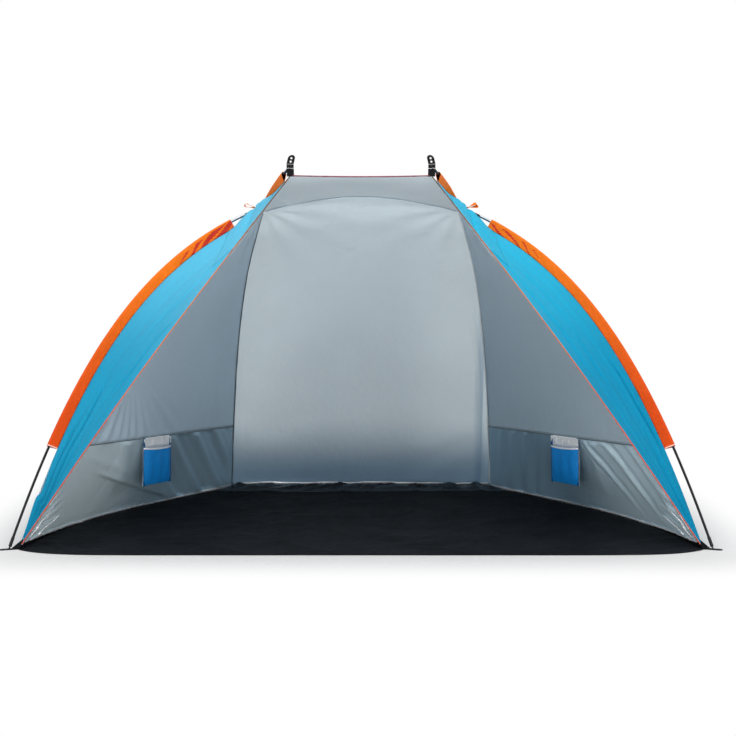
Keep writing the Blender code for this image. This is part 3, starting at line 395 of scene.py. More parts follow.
def rear_pole(hoop, crossing):
    foot = np.array([REAR_FOOT_X, REAR_FOOT_Y, 0.0])
    on_hoop = hoop.point(crossing)
    drop = hoop.inward(crossing)
    for _ in range(5):
        under = on_hoop + drop * (2.0 * ROD_RADIUS + CROSSING_GAP)
        heading = unit((under - foot) * np.array([1.0, 1.0, 0.0]))
        run = (TIP_Y - REAR_FOOT_Y) / heading[1]
        chord = math.hypot(run, TIP_Z)
        along_chord = np.array([run, TIP_Z]) / chord
        off_chord = np.array([-TIP_Z, run]) / chord
        seen = np.array([np.dot(under - foot, heading), under[2]])
        place = np.dot(seen, along_chord) / (chord / 2) - 1.0
        lift = np.dot(seen, off_chord) / (chord / 2)

        def too_low(arch):
            return np.interp(place, arch[:, 0], arch[:, 1]) < lift
        arch = search_peak(too_low)
        flat = ((arch[:, :1] + 1.0) * along_chord + arch[:, 1:] * off_chord) * (chord / 2)
        points = foot + flat[:, :1] * heading + flat[:, 1:] * UP
        pole = Path(points, np.array([heading[1], -heading[0], 0.0]))
        nearest = int(np.argmin(np.linalg.norm(pole.points - under, axis=1)))
        meeting = pole.reach[nearest]
        square = unit(np.cross(hoop.tangent(crossing), pole.tangent(meeting)))
        drop = square if np.dot(square, hoop.inward(crossing)) > 0 else -square
    return pole, meeting, drop


def seam_line(pole, crossings, depth_at_crossing):
    """The fabric's seam beside a pole, drawn together at a crossing, and the pole places it follows.

    A crossing is its place along the pole, the way to the seam there, and how far beyond it the
    seam is back at the seam drop.
    """
    places = np.linspace(0.0, pole.length, DENSE_COUNT + 1)
    offset = pole.inward(places) * SEAM_DROP
    for meeting, direction, reach_beyond in crossings:
        reach = np.where(places > meeting, reach_beyond, KNOT_REACH)
        nearness = np.clip(1.0 - np.abs(places - meeting) / reach, 0.0, None)
        weight = (nearness * nearness * (3.0 - 2.0 * nearness))[:, None]
        offset = offset * (1.0 - weight) + direction * depth_at_crossing * weight
    return Path(pole.point(places) + offset, pole.plane), places


def flip(points, side):
    return np.array(points) * np.array([side, 1.0, 1.0])


def shares_of(points):
    reach = reach_of(points)
    return reach / reach[-1]


def coons(bottom, top, left, right):
    v = shares_of(left)[:, None, None]
    u = shares_of(bottom)[None, :, None]
    rising = (1 - v) * bottom[None] + v * top[None]
    across = (1 - u) * left[:, None] + u * right[:, None]
    corners = (1 - v) * ((1 - u) * bottom[0] + u * bottom[-1]) + v * ((1 - u) * top[0] + u * top[-1])
    return rising + across - corners


def ruled(left, right, columns):
    u = np.linspace(0.0, 1.0, columns + 1)[None, :, None]
    return (1 - u) * left[:, None] + u * right[:, None]


def hump(shares):
    return np.sin(np.pi * shares)


def smooth(value, low, high):
    share = np.clip((value - low) / (high - low), 0.0, 1.0)
    return share * share * (3.0 - 2.0 * share)


def fade(value, low, high):
    return 1.0 - smooth(value, low, high)


def between(value, start, full, fading, gone):
    """One between two places and zero beyond them, with soft ends."""
    return smooth(value, start, full) * fade(value, fading, gone)


def bell(value, width):
    return np.exp(-(value / width) ** 2)


def turns(value):
    return np.sin(2 * np.pi * value)


def lattice(i, j, seed):
    value = np.sin(i * 127.1 + j * 311.7 + seed * 74.7) * 43758.5453
    return value - np.floor(value)


def noise(x, y, seed=0):
    """Smooth noise from 0 to 1, one lump for each unit of x and y."""
    i, j = np.floor(x), np.floor(y)
    a, b = smooth(x - i, 0.0, 1.0), smooth(y - j, 0.0, 1.0)
    low = lattice(i, j, seed) * (1 - a) + lattice(i + 1, j, seed) * a
    high = lattice(i, j + 1, seed) * (1 - a) + lattice(i + 1, j + 1, seed) * a
    return low * (1 - b) + high * b


def swell(x, y, seed=0):
    """Noise about zero, from about -1 to 1, with a finer second layer."""
    return (noise(x, y, seed) - 0.5) * 1.5 + (noise(x * 2.1, y * 2.1, seed + 7) - 0.5) * 0.7


def ridge(x, y, seed=0, sharpness=3.0):
    """Narrow creases between broad flats, from 0 to 1."""
    return (1.0 - np.abs(2.0 * noise(x, y, seed) - 1.0)) ** sharpness


def grid_normals(grid, inside):
    rows = np.gradient(grid, axis=0)
    columns = np.gradient(grid, axis=1)
    normals = np.cross(columns, rows)
    normals /= np.maximum(np.linalg.norm(normals, axis=2, keepdims=True), 1e-12)
    facing = np.einsum("ijk,ijk->", normals, grid - inside)
    return normals if facing > 0 else -normals


def lengths_along(grid):
    """Running lengths across and up a grid, in metres."""
    across = np.linalg.norm(np.diff(grid, axis=1), axis=2)
    upward = np.linalg.norm(np.diff(grid, axis=0), axis=2)
    s = np.concatenate([np.zeros((grid.shape[0], 1)), np.cumsum(across, axis=1)], axis=1)
    t = np.concatenate([np.zeros((1, grid.shape[1])), np.cumsum(upward, axis=0)], axis=0)
    return s, t


def edge_hold(s, t, reach):
    """Zero along a grid's four edges and one further in than the reach."""
    left, right = s, s[:, -1:] - s
    low, high = t, t[-1:] - t
    return (smooth(left, 0.0, reach) * smooth(right, 0.0, reach)
            * smooth(low, 0.0, reach) * smooth(high, 0.0, reach))


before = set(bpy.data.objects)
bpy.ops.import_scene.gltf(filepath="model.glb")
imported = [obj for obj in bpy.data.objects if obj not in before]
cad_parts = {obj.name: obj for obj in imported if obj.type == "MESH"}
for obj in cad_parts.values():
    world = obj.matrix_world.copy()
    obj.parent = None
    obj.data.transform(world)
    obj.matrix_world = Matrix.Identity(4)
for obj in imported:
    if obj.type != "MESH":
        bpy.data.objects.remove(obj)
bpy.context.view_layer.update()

hoop = front_pole()
crossing = float(np.interp(-CROSSING_X, -hoop.points[:, 0], hoop.reach))
pole, meeting, drop = rear_pole(hoop, crossing)
hoop_seam, hoop_places = seam_line(
    hoop, [(crossing, drop, KNOT_REACH), (hoop.length - crossing, flip(drop, LEFT), KNOT_REACH)],
    KNOT_DROP)
pole_seam, pole_places = seam_line(
    pole, [(meeting, drop, pole.length - meeting)], KNOT_DROP - 2 * ROD_RADIUS - CROSSING_GAP)
knot = hoop.point(crossing) + drop * KNOT_DROP
hoop_knot = float(hoop_seam.reach[np.argmin(np.linalg.norm(hoop_seam.points - knot, axis=1))])
pole_knot = float(pole_seam.reach[np.argmin(np.linalg.norm(pole_seam.points - knot, axis=1))])
hoop_low = hoop_seam.length_at_height(WALL_BASE)
pole_low = pole_seam.length_at_height(WALL_BASE)
hoop_wall = hoop_seam.length_at_height(WALL_SEAM_FRONT)
pole_wall = pole_seam.length_at_height(WALL_SEAM_REAR)
tab_place = pole.length - TOE_LIFT - PIN_LENGTH
pole_top = float(np.interp(tab_place, pole_places, pole_seam.reach))
INSIDE = np.array([0.0, (REAR_FOOT_Y + TIP_Y) / 2, WALL_SEAM_FRONT])


def seam_points(seam, start, end, count):
    return seam.point(np.linspace(start, end, count + 1))


def side_foot(columns):
    """The foot of the right side wall, from the rear corner to the front corner."""
    start, end = pole_seam.point(pole_low), hoop_seam.point(hoop_low)
    shares = np.linspace(0.0, 1.0, columns + 1)
    run = unit((end - start) * np.array([1.0, 1.0, 0.0]))
    outward = np.array([-run[1], run[0], 0.0])
    bow = SIDE_BOW * hump(shares ** SIDE_BOW_SKEW_SHARE)
    return start + shares[:, None] * (end - start) + bow[:, None] * outward


floor_front_y = side_foot(12)[-1, 1]
cad_floor_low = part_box("ground_sheet")[0]
foot_run = unit((side_foot(12)[-1] - side_foot(12)[-2])[:2])
corner_out = np.array([-foot_run[1], foot_run[0]]) * FLOOR_MARGIN
ORIGIN = np.array([0.0, cad_floor_low.y - (floor_front_y + corner_out[1] - FLOOR_MARGIN - FRONT_BOW), 0.0])


class Nodes:
    """A material's node tree, with short ways to add and join nodes."""

    def __init__(self, name):
        self.material = bpy.data.materials.new(name)
        self.material.use_nodes = True
        self.tree = self.material.node_tree
        self.shader = self.tree.nodes["Principled BSDF"]
        self.output = self.tree.nodes["Material Output"]
        self.place = self.add("ShaderNodeTexCoord").outputs["Object"]

    def add(self, kind, **settings):
        node = self.tree.nodes.new(kind)
        for key, value in settings.items():
            setattr(node, key, value)
        return node

    def join(self, source, target):
        self.tree.links.new(source, target)

    def math(self, operation, first, second=None):
        node = self.add("ShaderNodeMath", operation=operation)
        for socket, value in zip(node.inputs, (first, second)):
            if value is None:
                continue
            if isinstance(value, (int, float)):
                socket.default_value = value
            else:
                self.join(value, socket)
        return node.outputs[0]

    def noise(self, coordinates, scale, detail=3.0, roughness=0.5):
        node = self.add("ShaderNodeTexNoise")
        node.inputs["Scale"].default_value = scale
        node.inputs["Detail"].default_value = detail
        node.inputs["Roughness"].default_value = roughness
        self.join(coordinates, node.inputs["Vector"])
        return node.outputs["Fac"]

    def ramp(self, value, low, high, low_colour, high_colour):
        node = self.add("ShaderNodeMapRange")
        node.inputs["From Min"].default_value = low
        node.inputs["From Max"].default_value = high
        self.join(value, node.inputs["Value"])
        mix = self.add("ShaderNodeMix", data_type="RGBA")
        mix.inputs["A"].default_value = (*low_colour, 1.0)
        mix.inputs["B"].default_value = (*high_colour, 1.0)
        self.join(node.outputs[0], mix.inputs["Factor"])
        return mix.outputs["Result"]

    def bump(self, height, distance, strength=1.0, normal=None):
        node = self.add("ShaderNodeBump")
        node.inputs["Distance"].default_value = distance
        node.inputs["Strength"].default_value = strength
        self.join(height, node.inputs["Height"])
        if normal is not None:
            self.join(normal, node.inputs["Normal"])
        return node.outputs["Normal"]

    def split(self, vector):
        """A vector's X, Y and Z."""
        node = self.add("ShaderNodeSeparateXYZ")
        self.join(vector, node.inputs[0])
        return node.outputs

    def threads(self, across, along):
        """Height of a weave: waves across and along the cloth, each with its own length."""
        axes = self.split(self.add("ShaderNodeUVMap", uv_map="cloth").outputs[0])
        rows = [self.math("SINE", self.math("MULTIPLY", axes[axis], 2 * math.pi / length))
                for axis, length in (("X", across), ("Y", along))]
        return self.math("MULTIPLY", rows[0], rows[1])

    def mottled(self, scale, detail, colour, dark, light, low=0.3, high=0.7):
        """A colour that wanders between a darker and a lighter share of itself."""
        tone = self.noise(self.place, scale, detail)
        return self.ramp(tone, low, high, scaled(colour, dark), scaled(colour, light))

    def finish(self, colour, normal, specular, metallic=0.0, roughness=None):
        """Joins the colour and the normal to the shader, sets its other values and gives the material."""
        self.join(colour, self.shader.inputs["Base Color"])
        self.join(normal, self.shader.inputs["Normal"])
        self.shader.inputs["Specular IOR Level"].default_value = specular
        self.shader.inputs["Metallic"].default_value = metallic
        if roughness is not None:
            self.shader.inputs["Roughness"].default_value = roughness
        return self.material


def scaled(colour, share):
    return tuple(value * share for value in colour)


def with_painted_light(nodes, colour, painted_light):
    """Multiplies a colour by painted light and shade that change slowly across the object: (axis, from, to,
    tone, tone).
    """
    parts = nodes.split(nodes.place)
    for axis, start, end, first, last in painted_light:
        reach = parts[axis[-1]]
        if axis.startswith("off"):
            reach = nodes.math("ABSOLUTE", reach)
        share = nodes.add("ShaderNodeMapRange", interpolation_type="SMOOTHSTEP")
        share.inputs["From Min"].default_value, share.inputs["From Max"].default_value = start, end
        nodes.join(reach, share.inputs["Value"])
        tone = nodes.ramp(share.outputs[0], 0.0, 1.0, first, last)
        mix = nodes.add("ShaderNodeMix", data_type="RGBA", blend_type="MULTIPLY")
        mix.inputs["Factor"].default_value = 1.0
        nodes.join(colour, mix.inputs["A"])
        nodes.join(tone, mix.inputs["B"])
        colour = mix.outputs["Result"]
    return colour


def fabric(name, colour, roughness, specular, weave=0.0009, crumple=0.0006, mottle=0.06, metallic=0.0,
           painted_light=()):
    """Woven cloth: threads both ways, small crumples and slow changes of tone, with painted light and shade
    where given.
    """
    nodes = Nodes(name)
    woven = with_painted_light(nodes, nodes.mottled(3.0, 4.0, colour, 1.0 - mottle, 1.0 + mottle), painted_light)
    first = nodes.bump(nodes.noise(nodes.place, 26.0, 4.0, 0.55), crumple * 6.0)
    second = nodes.bump(nodes.noise(nodes.place, 120.0), crumple, 0.6, first)
    normal = nodes.bump(nodes.threads(weave, weave), weave * 0.08, 0.5, second)
    return nodes.finish(woven, normal, specular, metallic, roughness)


def plastic_sheet(name, colour, smoothest, roughest, specular, crinkle=0.0007):
    nodes = Nodes(name)
    spread = nodes.add("ShaderNodeMapRange")
    spread.inputs["To Min"].default_value = smoothest
    spread.inputs["To Max"].default_value = roughest
    nodes.join(nodes.noise(nodes.place, 5.0, 4.0), spread.inputs["Value"])
    nodes.join(spread.outputs[0], nodes.shader.inputs["Roughness"])
    first = nodes.bump(nodes.noise(nodes.place, 16.0, 6.0, 0.6), 0.006)
    normal = nodes.bump(nodes.noise(nodes.place, 90.0), crinkle, 0.6, first)
    return nodes.finish(nodes.mottled(7.0, 5.0, colour, 0.8, 1.5, 0.35, 0.75), normal, specular)


def webbing(name, colour):
    """Flat woven strap with ribs across it."""
    nodes = Nodes(name)
    normal = nodes.bump(nodes.threads(0.0022, 0.0013), 0.0003, 0.8)
    return nodes.finish(nodes.mottled(300.0, 2.0, colour, 0.7, 1.6), normal, 0.1, roughness=0.8)


def rod_finish(name, colour, roughness, metallic, streak, specular):
    nodes = Nodes(name)
    normal = nodes.bump(nodes.noise(nodes.place, 700.0, 2.0), 0.0001, 0.5)
    tone = nodes.mottled(90.0, 4.0, colour, 1.0 - streak, 1.0 + streak)
    return nodes.finish(tone, normal, specular, metallic, roughness)


PLAIN = (1.0, 1.0, 1.0)
# Painted shade: the inner silver is lighter at the front and darker towards the rear.
SILVER = fabric("silver_inside", (0.450, 0.565, 0.650), 0.42, 0.3, crumple=0.0005, mottle=0.04,
                metallic=0.12, painted_light=[("Y", -0.50, 0.50, (1.12, 1.10, 1.08), (0.88, 0.90, 0.92))])
# Painted light: the upper walls get a lighter left and a darker right copy of one silver cloth, and they
# darken towards the rear as painted shade.
SILVER_UPPER = {
    side: fabric(f"silver_upper_{SIDES[side]}", colour, 0.42, 0.3, crumple=0.0005, mottle=0.04, metallic=0.12,
                 painted_light=[("Y", -0.50, 0.50, (1.12, 1.10, 1.08), (0.88, 0.90, 0.92))])
    for side, colour in ((LEFT, (0.480, 0.605, 0.705)), (RIGHT, (0.425, 0.535, 0.615)))}
# Painted light: the lower walls are bright copies of the silver cloth, lighter on the left, and darken
# steeply towards the rear as painted shade.
SILVER_LOW = {
    side: fabric(f"silver_lower_{SIDES[side]}", colour, 0.33, 0.5, crumple=0.0005, mottle=0.04, metallic=0.30,
                 painted_light=[("Y", -0.22, 0.26, PLAIN, (0.37, 0.46, 0.54))])
    for side, colour in ((LEFT, (0.800, 0.950, 1.000)), (RIGHT, (0.650, 0.830, 0.920)))}
# Painted light on the rear panel: a lighter copy of the silver, darker near the floor as painted shade and
# lighter towards its sides. Near the right edge by the tuck there is a painted shadow band with a lighter
# strip beyond it.
SILVER_MIDDLE = fabric("silver_middle", (0.690, 0.785, 0.835), 0.46, 0.2, crumple=0.0005, mottle=0.04,
                       painted_light=[("Z", 0.04, 0.28, (0.27, 0.365, 0.465), PLAIN),
                               ("off X", 0.10, 0.46, (0.94, 0.94, 0.94), (1.20, 1.18, 1.15)),
                               ("X", 0.425, 0.455, PLAIN, (0.74, 0.80, 0.87)),
                               ("X", 0.462, 0.467, PLAIN, (1.46, 1.36, 1.26))])
# The pleats and hems are near-white copies of the silver cloth: partly a real metallic sheen, partly painted
# highlight.
SILVER_PAINTED_HIGHLIGHT = fabric("silver_pleat_painted_highlight", (0.930, 0.940, 0.950), 0.34, 0.5, crumple=0.0004, mottle=0.04,
                      metallic=0.45)
SILVER_ROOF = fabric("silver_roof", (0.610, 0.685, 0.725), 0.46, 0.2, crumple=0.0005, mottle=0.04)
# Painted shade: the dark seam strips stand in for the shadow along the seams.
SILVER_PAINTED_SHADE = fabric("silver_seam_painted_shade", (0.110, 0.135, 0.155), 0.5, 0.4, crumple=0.0006, mottle=0.10)
# Pale silver for the pocket and its hem; on the right rear seam strip it is a painted highlight.
SILVER_LIGHT = fabric("pale_silver_and_painted_highlight", (0.820, 0.840, 0.850), 0.42, 0.5, crumple=0.0009, mottle=0.06,
                      metallic=0.2)
BLUE = fabric("blue_outside", (0.005, 0.260, 0.440), 0.55, 0.12, crumple=0.0006, mottle=0.08)
# Painted light: each wing has its own copy of the blue, darker low down as painted shade and much lighter
# near the top as painted light.
BLUE_WINGS = {
    side: fabric(f"blue_wing_{SIDES[side]}", colour, 0.50, 0.03, crumple=0.0006, mottle=0.06,
                 painted_light=[("Z", 0.05, 0.45, (0.60, 0.84, 0.86), PLAIN), ("Z", 0.45, 1.00, PLAIN, top)])
    for side, colour, top in ((LEFT, (0.009, 0.225, 0.375), (8.0, 1.60, 1.40)),
                              (RIGHT, (0.002, 0.195, 0.340), (8.0, 1.70, 1.50)))}
POCKET_BLUE = fabric("pocket_blue", (0.006, 0.220, 0.620), 0.5, 0.2, crumple=0.0008, mottle=0.10)
TAPE_BLUE = fabric("pocket_tape", (0.004, 0.090, 0.260), 0.5, 0.2, crumple=0.0008, mottle=0.10)
# Painted light: the orange is lighter and yellower higher up, on the sleeves and ties.
ORANGE = fabric("orange_sleeve", (0.510, 0.050, 0.0025), 0.55, 0.08, crumple=0.0010, mottle=0.08,
                painted_light=[("Z", 0.35, 0.95, PLAIN, (1.25, 2.60, 2.0))])
# The sleeve's turned back inside, dark red: partly the cloth's inside, partly painted shade.
RED_SHADE = fabric("sleeve_inside_painted_shade", (0.400, 0.014, 0.004), 0.6, 0.2, crumple=0.0010, mottle=0.10)
PALE_RIM = fabric("sleeve_raw_edge", (0.800, 0.420, 0.340), 0.6, 0.2, crumple=0.0010, mottle=0.10)
# Painted light: the orange tape is lighter part way up and darkens towards maroon near the top as painted
# shade.
BINDING = fabric("edge_tape", (0.560, 0.095, 0.045), 0.6, 0.1, weave=0.0012, crumple=0.0004,
                 painted_light=[("Z", 0.30, 0.75, PLAIN, (0.80, 1.50, 1.0)),
                         ("Z", 0.80, 1.08, PLAIN, (0.24, 0.48, 0.9))])
# Painted shade: the roof's front edge tape is the same orange tape, darkened to maroon where it lies in
# shade.
TOP_TAPE_PAINTED_SHADE = fabric("top_edge_tape_painted_shade", (0.150, 0.030, 0.045), 0.6, 0.1, weave=0.0012, crumple=0.0004)
BLACK_SHEET = plastic_sheet("ground_plastic", (0.0045, 0.0055, 0.0070), 0.60, 0.85, 0.05)
BLACK_GLOSS = plastic_sheet("ground_plastic_crumpled", (0.0030, 0.0031, 0.0033), 0.14, 0.40, 0.22, 0.0024)
WEBBING = webbing("black_webbing", (0.0040, 0.0040, 0.0048))
STITCH = fabric("tab_stitching", (0.700, 0.700, 0.710), 0.7, 0.2, weave=0.0008, crumple=0.0004)
ROD = rod_finish("black_rod", (0.0060, 0.0060, 0.0070), 0.45, 0.0, 0.2, 0.15)
METAL = rod_finish("ferrule_tube", (0.300, 0.312, 0.328), 0.38, 1.0, 0.06, 0.5)
DARK_METAL = rod_finish("blackened_metal", (0.014, 0.014, 0.016), 0.45, 0.5, 0.10, 0.2)


def show(name, data):
    item = bpy.data.objects.new(name, data)
    bpy.context.scene.collection.objects.link(item)
    return item


def make_mesh(name, vertices, faces, uvs, materials, indices=None):
    mesh = bpy.data.meshes.new(name)
    mesh.from_pydata((np.array(vertices) + ORIGIN).tolist(), [], faces)
    for material in materials:
        mesh.materials.append(material)
    if indices is not None:
        mesh.polygons.foreach_set("material_index", indices)
    layer = mesh.uv_layers.new(name="cloth")
    loops = np.zeros(len(mesh.loops), np.int32)
    mesh.loops.foreach_get("vertex_index", loops)
    layer.data.foreach_set("uv", np.asarray(uvs, float)[loops].reshape(-1))
    mesh.shade_smooth()
    mesh.update()
    return show(name, mesh)


def triangles(rows, columns, start=0):
    """Two triangles for each cell, cut along the same diagonal whichever layer they belong to."""
    i, j = np.meshgrid(np.arange(rows - 1), np.arange(columns - 1), indexing="ij")
    a = start + i * columns + j
    halves = [np.stack([a, a + 1, a + columns + 1], axis=-1),
              np.stack([a, a + columns + 1, a + columns], axis=-1)]
    return np.stack(halves, axis=2).reshape(-1, 3)


def cloth(name, grid, inside, materials, thickness=CLOTH):
    """A thin closed sheet of cloth from its middle surface, with its outside and its inside finish."""
    rows, columns = grid.shape[:2]
    normals = grid_normals(grid, inside)
    raw = np.cross(np.gradient(grid, axis=1), np.gradient(grid, axis=0))
    turned_over = np.einsum("ijk,ijk->", raw, normals) < 0
    lift = normals * thickness / 2
    vertices = np.concatenate([(grid + lift).reshape(-1, 3), (grid - lift).reshape(-1, 3)])
    uvs = np.tile(np.stack(lengths_along(grid), axis=-1).reshape(-1, 2), (2, 1))
    count = rows * columns
    outer = triangles(rows, columns)
    inner = triangles(rows, columns, count)[:, ::-1]
    rim = np.concatenate([np.arange(columns), np.arange(2 * columns - 1, count, columns),
                          np.arange(count - 2, count - columns - 1, -1),
                          np.arange(count - 2 * columns, 0, -columns)])
    after = np.roll(rim, -1)
    sides = np.concatenate([np.stack([after, rim, rim + count], axis=-1),
                            np.stack([after, rim + count, after + count], axis=-1)])
    faces = np.concatenate([outer, inner, sides])
    if turned_over:
        faces = faces[:, ::-1]
    indices = np.zeros(len(faces), np.int32)
    indices[len(outer):len(outer) + len(inner)] = min(1, len(materials) - 1)
    return make_mesh(name, vertices, faces.tolist(), uvs, materials, indices)


def paint(piece, where, index):
    """Gives the cells of a cloth's outer layer where the mask holds another of its materials."""
    cells = np.repeat(np.asarray(where).reshape(-1), 2)
    indices = np.zeros(len(piece.data.polygons), np.int32)
    piece.data.polygons.foreach_get("material_index", indices)
    indices[:len(cells)][cells] = index
    piece.data.polygons.foreach_set("material_index", indices)


def tube(name, centres, firsts, seconds, radii, sides, material, wide=1.0):
    """A closed bar along a line: ring after ring with its own radius, and two end caps."""
    angles = 2 * np.pi * (np.arange(sides) + 0.5) / sides
    ring = (firsts[:, None] * np.cos(angles)[None, :, None] * wide
            + seconds[:, None] * np.sin(angles)[None, :, None])
    points = centres[:, None] + ring * radii[:, None, None]
    rows = len(centres)
    around = np.arange(sides) / sides * 2 * np.pi * float(np.mean(radii))
    uvs = np.stack(np.broadcast_arrays(around[None, :], reach_of(centres)[:, None]), axis=-1).reshape(-1, 2)
    i, j = np.meshgrid(np.arange(rows - 1), np.arange(sides), indexing="ij")
    a, b = i * sides + j, i * sides + (j + 1) % sides
    faces = np.stack([a, b, b + sides, a + sides], axis=-1).reshape(-1, 4).tolist()
    faces.append(list(range(sides))[::-1])
    faces.append([(rows - 1) * sides + step for step in range(sides)])
    item = make_mesh(name, points.reshape(-1, 3), faces, uvs, [material])
    shape = bmesh.new()
    shape.from_mesh(item.data)
    bmesh.ops.recalc_face_normals(shape, faces=shape.faces)
    shape.to_mesh(item.data)
    shape.free()
    item.data.set_sharp_from_angle(angle=math.radians(50.0))
    return item


def settle(piece, body, slot, *nodes):
    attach(piece, body)
    if nodes:
        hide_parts(*nodes)
    return piece


def lay(name, grid, materials, slot, *nodes, inside=INSIDE, body="tent", thickness=CLOTH):
    """A sheet of cloth on its body, instead of the nodes that it dresses."""
    return settle(cloth(name, grid, inside, materials, thickness), body, slot, *nodes)


def pushed(plain, depth):
    """A smooth panel moved away from the inside of the tent by the depth at each point."""
    return plain + grid_normals(plain, INSIDE) * depth[:, :, None]


def arch_points(count):
    """The seam over the rear panel, from one crossing of the poles to the other."""
    arch = seam_points(hoop_seam, hoop_knot, hoop_seam.length - hoop_knot, count)
    arch[0], arch[-1] = knot, flip(knot, LEFT)
    return arch


def rear_panel():
    side = seam_points(pole_seam, pole_low, pole_knot, REAR_ROWS)
    side[-1] = knot
    foot = ruled(side[:1], flip(side[:1], LEFT), REAR_COLUMNS)[0]
    plain = coons(foot, arch_points(REAR_COLUMNS), side, flip(side, LEFT))
    rows, columns = shares_of(side)[:, None], np.linspace(0.0, 1.0, REAR_COLUMNS + 1)[None, :]
    s, t = lengths_along(plain)
    far, below = s[:, -1:] - s, t[-1:] - t
    sag = -REAR_PANEL_SAG * hump(rows) * hump(columns)
    folds = REAR_WAVE * swell(s * 2.6, t * 1.7, 3) + REAR_RIPPLE * swell(s * 9.0, t * 3.0, 5)
    for aside, seed in ((s, 11), (far, 12)):
        radius, angle = np.hypot(aside, below), np.arctan2(below, aside + 1e-6)
        folds += REAR_PULL * np.sin(angle * 17.0 + seed) * between(radius, 0.02, 0.12, 0.12, 0.55)
    folds += REAR_PUCKER * swell(s * 14.0, t * 3.0, 8) * fade(t, 0.0, 0.12)
    folds += REAR_LOW_FOLD * swell(s * 4.6 + t * 2.0, t * 6.0, 9) * fade(t, 0.18, 0.42)
    folds -= TUCK_DEPTH * bell(s - TUCK_PLACE - TUCK_WANDER * np.sin(t * 9.0), TUCK_WIDTH) \
        * between(t, 0.03, 0.12, 0.55, 0.82)
    folds -= FAR_TUCK_DEPTH * bell(far - FAR_TUCK_PLACE, FAR_TUCK_WIDTH) * ridge(t * 9.0, s * 0.0, 14, 1.0)
    pucker = ARCH_PUCKER * ridge(s * 16.0, t * 2.0, 10, 4.0) * smooth(t, t[-1:] - 0.035, t[-1:] - 0.008)
    grid = pushed(plain, sag + folds * edge_hold(s, t, EDGE_HOLD) + pucker * edge_hold(s, t, ARCH_HOLD))
    piece = lay("rear_cloth", grid, [BLUE, SILVER_MIDDLE], "silver_fabric", "rear_panel")
    places = np.linspace(REAR_HEM_END, float(s[0, -1]) - REAR_HEM_END, 180)
    bases = REAR_HEM_BASE + REAR_HEM_WANDER * swell(places * 7.0, places * 0.0, 125)
    hem = wall_hem("rear_foot_hem", grid, s, t, places, bases, 124)


def roof_panel():
    side = seam_points(pole_seam, pole_knot, pole_top, ROOF_ROWS)
    side[0] = knot
    top = ruled(side[-1:], flip(side[-1:], LEFT), ROOF_COLUMNS)[0]
    top = top - UP * TOP_EDGE_SAG * hump(shares_of(top))[:, None]
    plain = coons(arch_points(ROOF_COLUMNS), top, side, flip(side, LEFT))
    s, t = lengths_along(plain)
    depth = ROOF_WAVE * swell(s * 3.0, t * 3.0, 21) + ROOF_RIPPLE * swell(s * 12.0, t * 6.0, 22)
    piece = lay("roof_cloth", pushed(plain, depth * edge_hold(s, t, EDGE_HOLD)), [BLUE, SILVER_ROOF],
                "silver_fabric", "roof_panel")
    # The maroon of the top tape is painted shade on the orange tape.
    edge = binding("top_binding", Path(top, UP), 0.006, 0.006, TOP_TAPE_PAINTED_SHADE, "maroon_piping", "top_piping")


def binding(name, line, start, end, material, slot, node):
    """Folded tape over a raw edge: a flat rounded bar, wider than it is thick."""
    reach = np.linspace(start, line.length - end, 160)
    centres, tangents = line.point(reach), line.tangent(reach)
    across = unit(INSIDE - centres)
    across = unit(across - tangents * np.einsum("ij,ij->i", across, tangents)[:, None])
    radii = BINDING_RADIUS * (1.0 + 0.12 * swell(reach * 60.0, reach * 0.0, 31))
    piece = tube(name, centres, across, np.cross(tangents, across), radii, 12, material, wide=1.1)
    return settle(piece, "tent", slot, node)


def front_edge(side):
    """The wing's two long edges on one side: the front edge, and the seam by the poles."""
    low_part = slice(DENSE_COUNT // 3)
    start = float(np.interp(WING_START_HEIGHT, hoop_seam.points[low_part, 2], hoop_seam.reach[low_part]))
    lower = seam_points(hoop_seam, start, hoop_knot, WING_ROWS * 3 // 4)
    upper = seam_points(pole_seam, pole_knot, pole_top, WING_ROWS // 4)
    lower[-1] = knot
    outer = np.vstack([lower, upper[1:]])
    base = hoop_seam.point(hoop_low)
    below_start = hoop_seam.point(np.linspace(hoop_low, start, 8))
    shares = shares_of(np.vstack([below_start, outer[1:]]))[7:]
    inner = base + shares[:, None] * (outer[-1] - base)
    inner[:, 0] += FRONT_EDGE_BOW * hump(shares)
    return flip(inner, side), flip(outer, side), shares


